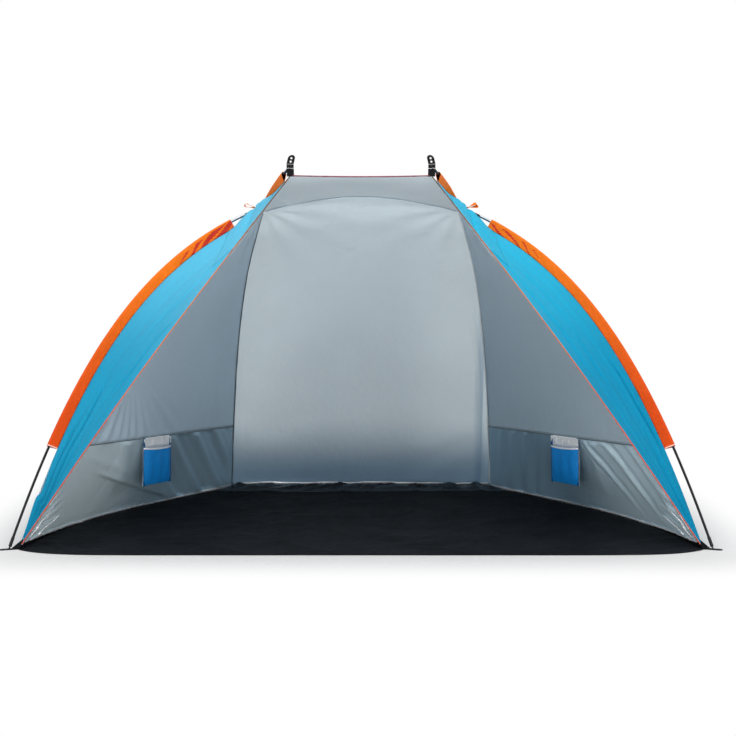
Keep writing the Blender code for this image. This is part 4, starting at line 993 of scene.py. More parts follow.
def wing(side):
    word = SIDES[side]
    inner, outer, shares = front_edge(side)
    top = float(shares[np.argmin(np.linalg.norm(outer - flip(knot, side), axis=1))])
    if side == LEFT:
        heights = outer[:, 2]
        above = smooth(heights, NOTCH_HEIGHT, NOTCH_HEIGHT + 0.006)
        outer[:, 0] -= NOTCH_OUT * (1.0 - above) * smooth(heights, 0.05, 0.14)
        outer[:, 0] += NOTCH_IN * above * fade(heights, 0.170, 0.270)
    plain = ruled(inner, outer, WING_COLUMNS)
    rows, columns = shares[:, None], np.linspace(0.0, 1.0, WING_COLUMNS + 1)[None, :]
    s, t = lengths_along(plain)
    width = s[:, -1:]
    open_share = smooth(width, 0.01, 0.10)
    seed = 40 + side * 3
    drift = columns + 0.05 * np.sin(rows * 5.0 + side) + 0.04 * swell(t * 2.0, columns * 0.0, seed)
    creases = WING_CREASE * turns(2.6 * drift + 0.15 * side) + WING_FINE_CREASE * turns(6.4 * drift + 0.3)
    creases = creases * open_share * (0.55 + 0.45 * swell(t * 3.0, columns * 2.0, seed + 1))
    for low_row, low_column, high_row, high_column, depth in WING_FOLDS[side]:
        middle = np.interp(rows, (low_row, high_row), (low_column, high_column))
        reach = between(rows, low_row - 0.05, low_row + 0.04, high_row - 0.04, high_row + 0.05)
        aside = (columns - middle - 0.02 * np.sin(rows * 40.0)) * width
        creases = creases - depth * bell(aside, FOLD_WIDTH) * reach
    creases = creases + WING_RIPPLE * swell(t * 7.0, columns * 6.0, seed + 2) * open_share
    depth = -WING_SAG * hump(rows) * hump(columns) \
        + creases * smooth(columns, 0.0, 0.10) * smooth(1.0 - columns, 0.0, 0.10)
    grid = pushed(plain, depth)
    piece = lay(f"wing_cloth_{word}", grid, [BLUE_WINGS[side], SILVER], "blue_fabric", f"wing_{word}")
    wing_guard(side, grid, shares, top)
    edge = binding(f"front_binding_{word}", Path(inner, UP), 0.002, 0.004, BINDING, "orange_fabric",
                   f"front_piping_{word}")


def wing_guard(side, wing_grid, shares, top):
    """A guard of wing cloth that stands in front of the place where the poles cross."""
    word = SIDES[side]
    normals = grid_normals(wing_grid, INSIDE)
    start, end = GUARD_ROW_SHARES
    rows = (shares >= start) & (shares <= end)
    first = int(GUARD_COLUMN_SHARE * WING_COLUMNS)
    base = (wing_grid + normals * GUARD_STAND)[rows, first:]
    at = shares[rows]
    rise = np.where(at < top, smooth(at, start, top), fade(at, top, end))[:, None]
    across = np.linspace(0.0, 1.0, base.shape[1])[None, :] ** 1.3
    ripple = GUARD_RIPPLE * np.sin(at * 190.0)[:, None] * across * rise
    grid = base + flip(GUARD_LIFT, side) * (rise * across)[:, :, None] \
        + normals[rows, first:] * ripple[:, :, None]
    piece = lay(f"wing_guard_cloth_{word}", grid, [BLUE_WINGS[side]], "blue_fabric")


def corner_fan(from_front, height, side):
    """Sharp folds that fan out from the front corner, where the cloth is gathered."""
    radius = np.hypot(from_front + FAN_REACH, height)
    angle = np.degrees(np.arctan2(height, from_front + FAN_REACH))
    wander = angle + 1.2 * swell(radius * 9.0, angle * 0.10, 50 + side)
    folds = np.sin(2 * np.pi * wander / 9.5 + 0.4) + 0.4 * turns(wander / 4.6)
    return FAN_DEPTH_SHARE * radius * folds * between(radius, 0.015, 0.04, 0.14, 0.26)


def slant_folds(s, t, side):
    """The lower wall's long folds: down to the front on the right, down to the rear on the left."""
    seed = 60 + side
    if side == RIGHT:
        across = s + 0.97 * t + 0.014 * swell(s * 5.0, t * 5.0, seed)
        band = between(across, 0.84, 0.92, 1.27, 1.38)
        band = band * smooth(t, 0.01, 0.09) * (0.30 + 0.70 * smooth(t, 0.06, 0.20))
        from_place = (across - RIGHT_FOLD_PLACE) / RIGHT_FOLD_LENGTH
        folds = RIGHT_FOLD * turns(from_place) * (0.62 + 0.38 * np.cos(np.pi * from_place)) * band
        folds -= RIGHT_CREASE * ridge(across * 21.0, (s - t) * 2.5, seed + 7, 2.0) * band
        folds += RIGHT_REAR_FOLD * turns((s - 0.15 * t) / RIGHT_REAR_LENGTH) * fade(s, 0.30, 0.42)
    else:
        across = t - LEFT_CREASE_FOOT - LEFT_CREASE_RISE_SHARE * (s - LEFT_CREASE_PLACE) \
            + 0.006 * swell(s * 6.0, t * 2.0, seed)
        folds = -LEFT_CREASE * smooth(across, -0.012, 0.004) \
            * np.exp(-np.maximum(across, 0.0) / LEFT_CREASE_FADE) * between(s, 0.36, 0.50, 0.74, 0.90)
        folds -= LEFT_SIDE_CREASE * bell(across - LEFT_SIDE_PLACE, LEFT_SIDE_WIDTH) \
            * between(s, 0.60, 0.70, 0.84, 0.96)
        across = s - 0.80 * t + 0.010 * swell(s * 4.0, t * 4.0, seed + 1)
        rear = LEFT_REAR_FOLD * turns((across - LEFT_REAR_PLACE) / LEFT_REAR_LENGTH) \
            + LEFT_FINE_FOLD * turns((across - LEFT_FINE_PLACE) / LEFT_FINE_LENGTH)
        folds += rear * between(s, 0.01, 0.06, 0.36, 0.47)
    depth, place, width, low, high = POCKET_DENTS[side]
    return folds - depth * bell(s - place, width) * smooth(t, low, high)


def sheet_point(grid, s, t, place):
    """The point of a grid that lies at the given lengths along it and up it."""
    row = 0
    for _ in range(4):
        column = float(np.interp(place[0], s[row], np.arange(s.shape[1])))
        high = float(np.interp(place[1], t[:, int(column)], np.arange(t.shape[0])))
        row = int(high)
    i, j = min(int(high), s.shape[0] - 2), min(int(column), s.shape[1] - 2)
    a, b = high - i, column - j
    return (grid[i, j] * (1 - a) * (1 - b) + grid[i, j + 1] * (1 - a) * b
            + grid[i + 1, j] * a * (1 - b) + grid[i + 1, j + 1] * a * b)


def wall_hem(name, grid, s, t, places, bases, seed, stand=HEM_STAND):
    """The wall's narrow hem, which lies on the cloth's inner face just above the black sheet."""
    lifted = grid - grid_normals(grid, INSIDE) * stand
    heights = HEM_HEIGHT * (1.0 + 0.30 * swell(places * 11.0, places * 0.0, seed))
    bases = np.broadcast_to(bases, places.shape)
    rows = [[sheet_point(lifted, s, t, (place, base + height * share))
             for place, base, height in zip(places, bases, heights)] for share in np.linspace(0.0, 1.0, 5)]
    return lay(name, np.array(rows), [SILVER_PAINTED_HIGHLIGHT], "silver_fabric")


def corner_pleats(side, grid, s, t):
    """Small straight pleats that run back and up from the wall's front corner, inside the tent."""
    pleats = []
    for number, (start, foot, run, rise, width) in enumerate(PLEATS, start=1):
        share = np.linspace(0.0, 1.0, 44)
        line = np.stack([start - run * share, foot + rise * share], axis=1)
        line[:, 1] += PLEAT_WANDER * np.sin(share * 11.0 + number)
        along = unit(np.gradient(line, axis=0))
        beside = np.stack([-along[:, 1], along[:, 0]], axis=1)
        taper = 0.25 + 0.75 * hump(share ** 0.7)
        across = np.linspace(-0.5, 0.5, 9)
        rows = np.array([[sheet_point(grid, s, t, place)
                          for place in line + beside * (part * width * taper)[:, None]] for part in across])
        bow = hump(across + 0.5)[:, None] * PLEAT_HEIGHT * taper[None, :]
        surface = rows - grid_normals(rows, INSIDE) * (PLEAT_STAND + bow)[:, :, None]
        pleats.append(lay(f"corner_pleat_{SIDES[side]}_{number}", surface, [SILVER_PAINTED_HIGHLIGHT], "silver_fabric"))
    return pleats


def lower_wall(side):
    word = SIDES[side]
    foot = flip(side_foot(LOWER_COLUMNS), side)
    rear_edge = flip(seam_points(pole_seam, pole_low, pole_wall, LOWER_ROWS), side)
    front = flip(seam_points(hoop_seam, hoop_low, hoop_wall, LOWER_ROWS), side)
    top = ruled(rear_edge[-1:], front[-1:], LOWER_COLUMNS)[0]
    plain = coons(foot, top, rear_edge, front)
    s, t = lengths_along(plain)
    from_front = s[:, -1:] - s
    depth = LOWER_WAVE * swell(s * 5.0 - t * 2.0, t * 3.0, 60 + side)
    depth += LOWER_PUCKER * swell(s * 24.0, t * 5.0, 66 + side) * smooth(t / t[-1:], 0.72, 1.0)
    depth += LOWER_CREASE * ridge(s * 16.0, t * 4.0, 68 + side, 2.0) * fade(t, 0.0, 0.05)
    depth += slant_folds(s, t, side) + corner_fan(from_front, t, side)
    hold = smooth(t, 0.0, 0.02) * smooth(t[-1:] - t, 0.0, 0.015) \
        * smooth(s, 0.0, 0.03) * smooth(from_front, 0.0, 0.012)
    grid = pushed(plain, depth * hold)
    piece = lay(f"side_lower_cloth_{word}", grid, [BLUE, SILVER_LOW[side]], "silver_fabric",
                f"side_wall_lower_{word}")
    trims = corner_pleats(side, grid, s, t)
    places = np.linspace(HEM_START, float(s[0, -1]) - WEDGE_REACH + HEM_OVERLAP, 170)
    trims.append(wall_hem(f"side_foot_hem_{word}", grid, s, t, places, HEM_BASE, 120 + side))
    corner, corner_hem = corner_wedge(side, grid, s, t)
    return corner


def upper_wall(side):
    word = SIDES[side]
    edges = [seam_points(pole_seam, pole_wall, pole_knot, WALL_ROWS),
             seam_points(hoop_seam, hoop_wall, hoop_knot, WALL_ROWS)]
    for edge in edges:
        edge[-1] = edge[-2] + (knot - edge[-2]) * 0.7
    plain = flip(ruled(*edges, WALL_COLUMNS), side)
    rows = np.linspace(0.0, 1.0, WALL_ROWS + 1)[:, None]
    columns = np.linspace(0.0, 1.0, WALL_COLUMNS + 1)[None, :]
    s, t = lengths_along(plain)
    seed = 70 + side
    if side == LEFT:
        pucker_share, fan_share = 0.5 * smooth(columns, 0.55, 0.95), 1.0
    else:
        pucker_share, fan_share = 0.2 + 0.2 * smooth(columns, 0.6, 0.95), 0.18
    folds = UPPER_WAVE * swell(s * 2.4, t * 2.0, seed)
    folds = folds + UPPER_PULL * turns(columns * 4.0 + 0.2 * side) * smooth(rows, 0.45, 0.9) \
        * smooth(s[:, -1:], 0.02, 0.16)
    folds += UPPER_PUCKER * ridge(s * 17.0 + t * 4.0, t * 2.0, seed + 3, 2.5) * fade(t, 0.01, 0.13) \
        * pucker_share
    ahead, below = s - UPPER_FAN_PLACE, UPPER_FAN_HEIGHT - t
    radius, angle = np.hypot(ahead, below), np.degrees(np.arctan2(ahead, below))
    angle = angle + 2.0 * swell(radius * 8.0, angle * 0.05, seed + 5)
    fan = UPPER_FAN_DEPTH_SHARE * radius * turns((angle + 43.7) / 11.0)
    fan = fan * between(radius, 0.05, 0.14, 0.30, 0.42) * between(angle, -62.0, -48.0, 46.0, 60.0)
    folds += fan * fan_share * (0.65 + 0.35 * swell(angle * 0.11, radius * 2.0, seed + 6))
    sag = -SIDE_WALL_SAG * hump(rows) * hump(columns)
    grid = pushed(plain, sag + folds * edge_hold(s, t, UPPER_WALL_HOLD))
    piece = lay(f"side_upper_cloth_{word}", grid, [BLUE, SILVER_UPPER[side]], "silver_fabric",
                f"side_wall_upper_{word}")


def sleeve(kind, path, seam, places, low, high, side, seed):
    """Cloth round a rod, its two raw edges sewn together into the seam."""
    fine = min(SLEEVE_FINE_REACH, (high - low) / 2)
    distance = np.concatenate([np.arange(low, high - fine - 0.002, SLEEVE_STEP),
                               np.arange(high - fine, high, SLEEVE_FINE_STEP), [high]])
    rows = len(distance)
    centre, inward = path.point(distance), path.inward(distance)
    plane = np.broadcast_to(unit(path.plane), centre.shape)
    sewn = seam.point(np.interp(distance, places, seam.reach))
    depth = np.einsum("ij,ij->i", sewn - centre, inward)[:, None]
    aside = (sewn - centre) - inward * depth
    lean = np.degrees(np.arcsin(SLEEVE_RADIUS / SEAM_DROP))
    arc = np.radians(np.linspace(-90.0 - lean, 90.0 + lean, 15))
    tail = np.linspace(0.0, 1.0, 9)[:-1]
    a, b = (np.tile(np.pad(way * SLEEVE_RADIUS, len(tail)), (rows, 1)) for way in (-np.cos(arc), np.sin(arc)))
    for k, share in enumerate(tail):
        for column, edge in ((k, arc[0]), (a.shape[1] - 1 - k, arc[-1])):
            a[:, column] = depth[:, 0] * (1 - share) - np.cos(edge) * SLEEVE_RADIUS * share
            b[:, column] = np.sin(edge) * SLEEVE_RADIUS * share \
                + (RAW_EDGE_HALF * (1 - share)) * np.sign(edge)
    along = distance[:, None] - low
    around = np.arange(a.shape[1])[None, :] / (a.shape[1] - 1.0)
    slack = np.clip(a / SEAM_DROP, 0.0, 1.0)
    gather = SLEEVE_GATHER * swell(along * 42.0 + slack * 2.0, around * 6.0, seed) * (0.35 + 0.65 * slack)
    gather += SLEEVE_CREASE * ridge(along * 24.0 + slack * 1.4, around * 3.0, seed + 1, 3.0) * slack
    hold = smooth(np.clip(1.0 - slack, 0.0, 1.0), 0.0, 0.12)
    push = np.where(np.abs(b) > 1e-6, np.sign(b), 0.0) * gather * hold
    puff = 1.0 + 0.10 * swell(along * 8.0, around * 0.0, seed + 2)
    grid = (centre[:, None] + inward[:, None] * a[:, :, None]
            + plane[:, None] * (b * puff + push)[:, :, None]
            + aside[:, None] * np.clip(a / np.maximum(depth, 1e-6), 0.0, 1.0)[:, :, None])
    flat = flip(grid, side)
    word = SIDES[side]
    piece = lay(f"{kind}_sleeve_cloth_{word}", flat, [ORANGE, RED_SHADE, PALE_RIM], "orange_fabric",
                f"{kind}_sleeve_{word}", inside=flip((centre + sewn)[:, None] / 2, side))
    if kind == "long":
        paint_long_sleeve(piece, (high - distance)[:, None], slack, side)


def paint_long_sleeve(piece, from_top, slack, side):
    """Dark red streaks where the upper end's seam side is turned back: partly the cloth's inside, partly
    painted shade. Also the pale raw lower edge.
    """
    from_top, slack = np.broadcast_arrays(from_top, slack)
    stripe = turns(from_top * 17.0 - slack * 1.3 + 0.15 * np.sin(from_top * 40.0))
    cover = np.interp(from_top, *TURNED_BACK_SHADE[side])
    edge = np.interp(from_top, (0.0, 0.17), (0.02, 0.34)) if side == LEFT else 0.30
    lining_shade = (stripe < cover) & (slack > edge)
    paint(piece, lining_shade[:-1, :-1], 1)
    paint(piece, (from_top > from_top.max() - RIM_WIDTH)[:-1, :-1], 2)


def bar(name, path, profile, side, material):
    """A turned bar along a path, from its profile of places and radii."""
    distance, radii = np.array(profile).T
    centres, inward = flip(path.point(distance), side), flip(path.inward(distance), side)
    seconds = flip(np.broadcast_to(unit(path.plane), centres.shape), side)
    return tube(name, centres, inward, seconds, radii, ROD_SIDES, material)


def section_pieces(name, path, count, side, joint_shift=0.0):
    start = TOE_LIFT + PIN_LENGTH
    joints = np.linspace(0.0, path.length, count + 1) - joint_shift
    for index in range(count):
        low = start if index == 0 else joints[index]
        high = path.length - start if index == count - 1 else joints[index + 1]
        rings = [(d, ROD_RADIUS) for d in np.linspace(low, high, ROD_RINGS)]
        settle(bar(f"{name}_rod_{index + 1}", path, rings, side, ROD), "tent", "fibreglass",
               f"{name}_section_{index + 1}")
        if index == count - 1:
            continue
        grip, socket, crimp = high - FERRULE_GRIP, high + FERRULE_SOCKET, high - FERRULE_GRIP / 2
        full = [grip + TURNED_EDGE, *np.linspace(grip + RING_INSET, socket - RING_INSET, 6),
                crimp - CRIMP_HALF, crimp + CRIMP_HALF, socket - TURNED_EDGE]
        profile = [(d, FERRULE_RADIUS) for d in full] + [(crimp, FERRULE_RADIUS - TURNED_EDGE / 2)]
        profile += [(d, FERRULE_RADIUS - TURNED_EDGE) for d in (grip, socket)]
        settle(bar(f"{name}_ferrule_{index + 1}", path, sorted(profile), side, METAL), "tent",
               "ferrule_metal")


def tip_piece(name, node, path, side):
    """A pole's end: a turned pin, its shoulder and the cap over the rod."""
    shoulder = TOE_LIFT + PIN_LENGTH
    end = shoulder + TIP_CAP_LENGTH
    profile = [(TOE_LIFT, PIN_RADIUS - TIP_EDGE), (TOE_LIFT + TIP_EDGE, PIN_RADIUS), (shoulder, PIN_RADIUS),
               (shoulder, FERRULE_RADIUS - TIP_EDGE), (shoulder + TIP_EDGE, FERRULE_RADIUS)]
    profile += [(d, FERRULE_RADIUS) for d in np.linspace(shoulder + RING_INSET, end - RING_INSET, 5)]
    profile += [(end - TIP_EDGE, FERRULE_RADIUS), (end, FERRULE_RADIUS - TIP_EDGE)]
    settle(bar(name, path, profile, side, DARK_METAL), "tent", "ferrule_metal", node)


def outline_of(start, end, width, rounded):
    half = width / 2
    outline = [(-half, start), (half, start)]
    if not rounded:
        return outline + [(half, end), (-half, end)]
    centre = end - half
    return outline + [(half * math.cos(angle), centre + half * math.sin(angle))
                      for angle in np.linspace(0.0, math.pi, 17)]


def leant(places, start):
    """The top tails lean inwards a little, more and more towards their ends."""
    return -TAIL_LEAN * np.clip((places - start) / TOP_TAIL_LENGTH, 0.0, 1.0)


def strap(name, outline, holes, origin, ways, body, node, side, lean=None):
    """A flat webbing strap with round holes, its edges softened."""
    x_way, y_way, normal = ways
    shape = bmesh.new()

    def loop(points):
        ring = [shape.verts.new((x, y, 0.0)) for x, y in points]
        return [shape.edges.new((a, b)) for a, b in zip(ring, ring[1:] + ring[:1])]

    edges = loop(outline)
    for x, y, radius in holes:
        angles = [2 * math.pi * k / HOLE_SIDES for k in range(HOLE_SIDES)]
        edges += loop([(x + radius * math.cos(angle), y + radius * math.sin(angle)) for angle in angles])
    bmesh.ops.triangle_fill(shape, edges=edges, use_beauty=True, use_dissolve=False)
    grown = bmesh.ops.extrude_face_region(shape, geom=list(shape.faces))
    moved = [item for item in grown["geom"] if isinstance(item, bmesh.types.BMVert)]
    bmesh.ops.translate(shape, verts=moved, vec=(0.0, 0.0, WEB_THICKNESS))
    bmesh.ops.recalc_face_normals(shape, faces=shape.faces)
    rim = [edge for edge in shape.edges if edge.calc_face_angle(0.0) > 0.9]
    bmesh.ops.bevel(shape, geom=rim, offset=WEB_THICKNESS * 0.28, segments=2, affect="EDGES", profile=0.5)
    layer = shape.loops.layers.uv.new("cloth")
    for face in shape.faces:
        for corner in face.loops:
            corner[layer].uv = (corner.vert.co.x, corner.vert.co.y)
    for vertex in shape.verts:
        x, y, z = vertex.co
        x = x + (0.0 if lean is None else float(leant(y, lean)))
        vertex.co = Vector(flip(origin + x_way * x + y_way * y + normal * z, side) + ORIGIN)
    bmesh.ops.recalc_face_normals(shape, faces=shape.faces)
    mesh = bpy.data.meshes.new(name)
    shape.to_mesh(mesh)
    shape.free()
    mesh.materials.append(WEBBING)
    mesh.shade_smooth()
    mesh.set_sharp_from_angle(angle=math.radians(40.0))
    settle(show(name, mesh), body, "webbing", node)


def eyelet(name, centre, normal, hole, body, side):
    """A pressed metal ring: a rolled flange on both faces of the webbing."""
    normal = unit(normal)
    first = unit(np.cross(normal, np.array([0.3, 1.0, 0.2])))
    second = np.cross(normal, first)
    steps, around = 12, 28
    half = EYELET_FLANGE / 2
    angles = [2 * math.pi * k / steps for k in range(steps)]
    ring = [(hole + half + half * math.cos(angle) * 1.15, EYELET_HEIGHT / 2 * math.sin(angle))
            for angle in angles]
    vertices = []
    for turn in np.linspace(0.0, 2 * math.pi, around, endpoint=False):
        way = first * math.cos(turn) + second * math.sin(turn)
        vertices += [centre + way * radius + normal * height for radius, height in ring]
    i, j = np.meshgrid(np.arange(around), np.arange(steps), indexing="ij")
    a, b = i * steps + j, i * steps + (j + 1) % steps
    c, d = (i + 1) % around * steps + (j + 1) % steps, (i + 1) % around * steps + j
    faces = np.stack([a, b, c, d], axis=-1).reshape(-1, 4)
    if side == RIGHT:
        faces = faces[:, ::-1]
    piece = make_mesh(name, flip(vertices, side), faces.tolist(), np.zeros((len(vertices), 2)), [DARK_METAL])
    settle(piece, body, "ferrule_metal")


def top_tab(side):
    word = SIDES[side]
    ahead, rise = pole.tangent(tab_place), -pole.inward(tab_place)
    across = np.cross(rise, ahead)
    ways = across, rise, ahead
    origin = pole.point(tab_place) + ahead * TAB_STAND
    centre = origin + ahead * WEB_THICKNESS / 2
    strap(f"top_web_{word}", outline_of(-TOP_TAB_DROP, TOP_TAB_ABOVE, WEB_WIDTH, False),
          [(0.0, 0.0, SOCKET_HOLE)], origin, ways, "tent", f"top_tab_{word}", side)
    eyelet(f"top_socket_ring_{word}", centre, ahead, SOCKET_HOLE, "tent", side)
    tab_stitches(side, origin + ahead * WEB_THICKNESS, across, rise, -ahead)
    start = TOP_TAB_ABOVE + HINGE_GAP
    places = [start + TOP_TAIL_FIRST_EYELET + TOP_EYELET_PITCH * k for k in range(2)]
    body = f"top_tail_{word}"
    strap(f"top_tail_web_{word}", outline_of(start, start + TOP_TAIL_LENGTH, WEB_WIDTH, True),
          [(0.0, place, EYELET_HOLE) for place in places], origin, ways, body, f"top_tab_tail_{word}",
          side, start)
    for k, place in enumerate(places, start=1):
        middle = centre + rise * place + across * float(leant(place, start))
        eyelet(f"top_tail_ring_{word}_{k}", middle, ahead, EYELET_HOLE, body, side)


def tab_stitches(side, origin, across, rise, normal):
    """One sewn row across the tab: short threads with gaps between them."""
    for k in range(STITCH_COUNT):
        middle = (k - (STITCH_COUNT - 1) / 2) * WEB_WIDTH / STITCH_COUNT
        u = np.linspace(-0.5, 0.5, 5)[None, :, None] * STITCH_LENGTH
        v = np.linspace(-0.5, 0.5, 4)[:, None, None] * STITCH_WIDTH
        swelling = STITCH_HEIGHT * hump(np.linspace(0.0, 1.0, 5))[None, :, None]
        grid = origin + across * (u + middle) + rise * (v - STITCH_DROP) - normal * (STITCH_STAND + swelling)
        lay(f"top_stitch_{SIDES[side]}_{k + 1}", flip(grid, side), [STITCH], "webbing",
            inside=flip(origin + normal, side))


def ground_tab(side, kind):
    word = SIDES[side]
    front = kind == "front"
    path = hoop if front else pole
    eye = path.point(TOE_LIFT) * np.array([1.0, 1.0, 0.0])
    turn = math.radians(FRONT_TAB_TURN)
    way = np.array([math.cos(turn), math.sin(turn), 0.0]) if front \
        else unit(-path.inward(0.0) * np.array([1.0, 1.0, 0.0]))
    ways = np.cross(way, UP), way, UP
    start = GROUND_TAB_AHEAD + HINGE_GAP
    peg = start + GROUND_TAIL_LENGTH - WEB_WIDTH / 2
    reach = GROUND_TAB_AHEAD if front else GROUND_TAB_AHEAD + GROUND_TAIL_LENGTH
    peg_hole = [(0.0, peg, EYELET_HOLE)]
    holes = [(0.0, 0.0, GROUND_SOCKET_HOLE)] + ([] if front else peg_hole)
    strap(f"{kind}_ground_web_{word}", outline_of(-GROUND_TAB_BACK, reach, WEB_WIDTH, not front), holes,
          eye, ways, "tent", f"{kind}_ground_tab_{word}", side)
    ring_base = eye + UP * (EYELET_HEIGHT / 2)
    eyelet(f"{kind}_ground_ring_{word}", ring_base, UP, GROUND_SOCKET_HOLE, "tent", side)
    body = f"ground_tail_{word}" if front else "tent"
    if front:
        strap(f"front_ground_tail_web_{word}", outline_of(start, start + GROUND_TAIL_LENGTH, WEB_WIDTH, True),
              peg_hole, eye, ways, body, f"front_ground_tab_tail_{word}", side)
    eyelet(f"{kind}_peg_ring_{word}", ring_base + way * peg, UP, EYELET_HOLE, body, side)


def pocket(side):
    word = SIDES[side]
    start, end = pole_seam.point(pole_wall), hoop_seam.point(hoop_wall)
    along = unit(end - start)
    down = unit(-UP + along * np.dot(UP, along))
    inward = np.cross(along, down)
    inward = -inward if inward[0] > 0 else inward
    hang = start + (end - start) * POCKET_PLACE_SHARE
    hinge = hang + inward * POCKET_STAND + down * POCKET_HANG
    half = POCKET_WIDTH / 2
    body = f"pocket_{word}"
    seed = 80 + side

    def surface(beside, below, out):
        place = hinge + along * beside[:, :, None] + down * below[:, :, None] + inward * out[:, :, None]
        return flip(place, side)

    def sew(name, grid, materials, slot, node):
        return lay(name, grid, materials, slot, node, inside=flip(hinge - inward, side), body=body)

    u, v = np.linspace(-1.0, 1.0, 61)[None, :], np.linspace(0.0, 1.0, 66)[:, None]
    crumple = POCKET_CRUMPLE * ridge(u * 4.2 + v * 3.0, v * 3.0, seed, 2.0) \
        + POCKET_RIPPLE * swell(u * 7.0, v * 9.0, seed)
    depth = crumple * fade(v * POCKET_HEIGHT, POUCH_DROP * 0.7, POUCH_DROP * 1.1) * smooth(v, 0.0, 0.03) \
        + POCKET_WAVE * swell(u * 3.0, v * 3.0, seed + 1) * hump(v)
    back = sew(f"pocket_back_cloth_{word}", surface(u * half, v * POCKET_HEIGHT, depth),
               [SILVER_LIGHT, SILVER], "silver_fabric", f"pocket_back_{word}")

    v = np.linspace(0.0, 1.0, 60)[:, None]
    width, height = half - POUCH_EDGE / 3, POCKET_HEIGHT - POUCH_DROP - POUCH_EDGE / 3
    belly = POUCH_STAND + POUCH_BULGE * (1.0 - np.abs(u) ** 4) * (1.0 - v ** 3)
    droop = POUCH_DROOP * (1.0 - u * u) * (1.0 - v) ** 4
    folds = POUCH_WAVE * swell(u * 2.2, v * 1.2, seed + 4) + POUCH_FOLD * turns(u * 1.4 + 0.3 * v) * hump(v)
    below = POUCH_DROP + droop + v * (height - droop)
    depth = belly + folds * (1.0 - np.abs(u) ** 6) * smooth(1.0 - v, 0.0, 0.1)
    grid = surface(u * width, below, depth)
    pouch = sew(f"pocket_pouch_cloth_{word}", grid, [POCKET_BLUE], "blue_fabric", f"pocket_pouch_{word}")
    trims = [strip_along(f"pocket_hem_{word}", flip(grid[0], side), down, inward, POCKET_HEM_WIDTH,
                         SILVER_LIGHT, side, body, "silver_fabric", seed + 6)]
    drop = np.linspace(0.0, 1.0, 40)[:, None] * POCKET_HEIGHT
    for name, place in (("rear", -1.0), ("front", 1.0)):
        line = hinge + along * (half * place) + down * drop + inward * POUCH_STAND
        trims.append(strip_along(f"pocket_{name}_tape_{word}", line, along * (-place), inward,
                                 POCKET_TAPE_WIDTH, TAPE_BLUE, side, body, "blue_fabric", seed + 8))


def strip_along(name, line, way, face, width, material, side, body, slot, seed):
    """A narrow tape beside a line: it starts on the line and runs the given way."""
    share = np.linspace(-0.1, 1.0, 6)[None, :, None]
    wobble = TAPE_WOBBLE * swell(np.arange(len(line)) * 0.35, np.zeros(len(line)), seed)
    grid = line[:, None] + way * share * width + face * (TAPE_STAND + wobble[:, None, None])
    return lay(name, flip(grid, side), [material], slot, inside=flip(grid - face, side), body=body)


def tie(side):
    word = SIDES[side]
    middle = crossing - TIE_PLACE
    inner = ROD_RADIUS + TIE_CLEARANCE
    distance = np.linspace(middle - TIE_WIDTH / 2, middle + TIE_WIDTH / 2, 9)
    angles = np.linspace(0.0, 2 * np.pi, 41)
    centre, inward = hoop.point(distance), hoop.inward(distance)
    plane = unit(hoop.plane)
    radius = inner + TIE_TAPE / 2 + TIE_WOBBLE * np.sin(angles * 3.0)[None, :]
    grid = (centre[:, None] + (inward[:, None] * np.cos(angles)[None, :, None]
                               + plane * np.sin(angles)[None, :, None]) * radius[:, :, None])
    lay(f"tie_band_tape_{word}", flip(grid, side), [ORANGE], "orange_fabric", f"tie_band_{word}",
        inside=flip(centre[:, None], side), thickness=TIE_TAPE)

    plane_up = unit(UP - plane * np.dot(UP, plane))
    outboard = unit(np.array([1.0, 0.0, 0.0]) + plane_up * TIE_LOOP_HEIGHT / TIE_LOOP_LENGTH)
    rise = unit(plane_up - outboard * np.dot(plane_up, outboard))
    root = hoop.point(middle) - hoop.inward(middle) * (inner + TIE_TAPE + HINGE_GAP)
    half = TIE_LOOP_HEIGHT / 2 - TIE_TAPE / 2
    end = TIE_LOOP_LENGTH - half
    arc = [(end + half * math.cos(a), half * math.sin(a)) for a in np.radians(np.linspace(-105, 105, 31))]
    tail_low = [(x, -TIE_WOBBLE - (half * 0.97 - TIE_WOBBLE) * (x / end) ** 1.2)
                for x in np.linspace(0.0, end * 0.93, 16)]
    tail_high = [(x, -y) for x, y in reversed(tail_low)]
    line = np.array(tail_low + arc + tail_high)
    across = np.linspace(-0.5, 0.5, 7) * TIE_SPREAD[side]
    twist = TIE_TWIST[side] * (line[:, 0] / TIE_LOOP_LENGTH)[:, None, None]
    grid = (root + outboard * line[:, None, :1] + rise * line[:, None, 1:]
            + (plane + rise * twist) * across[None, :, None] * TIE_WIDTH)
    loop_middle = root + outboard * TIE_LOOP_LENGTH * 0.6
    lay(f"tie_loop_tape_{word}", flip(grid, side), [ORANGE], "orange_fabric", f"tie_loop_{word}",
        inside=flip(loop_middle, side), body=f"tie_{word}", thickness=TIE_TAPE * 0.8)


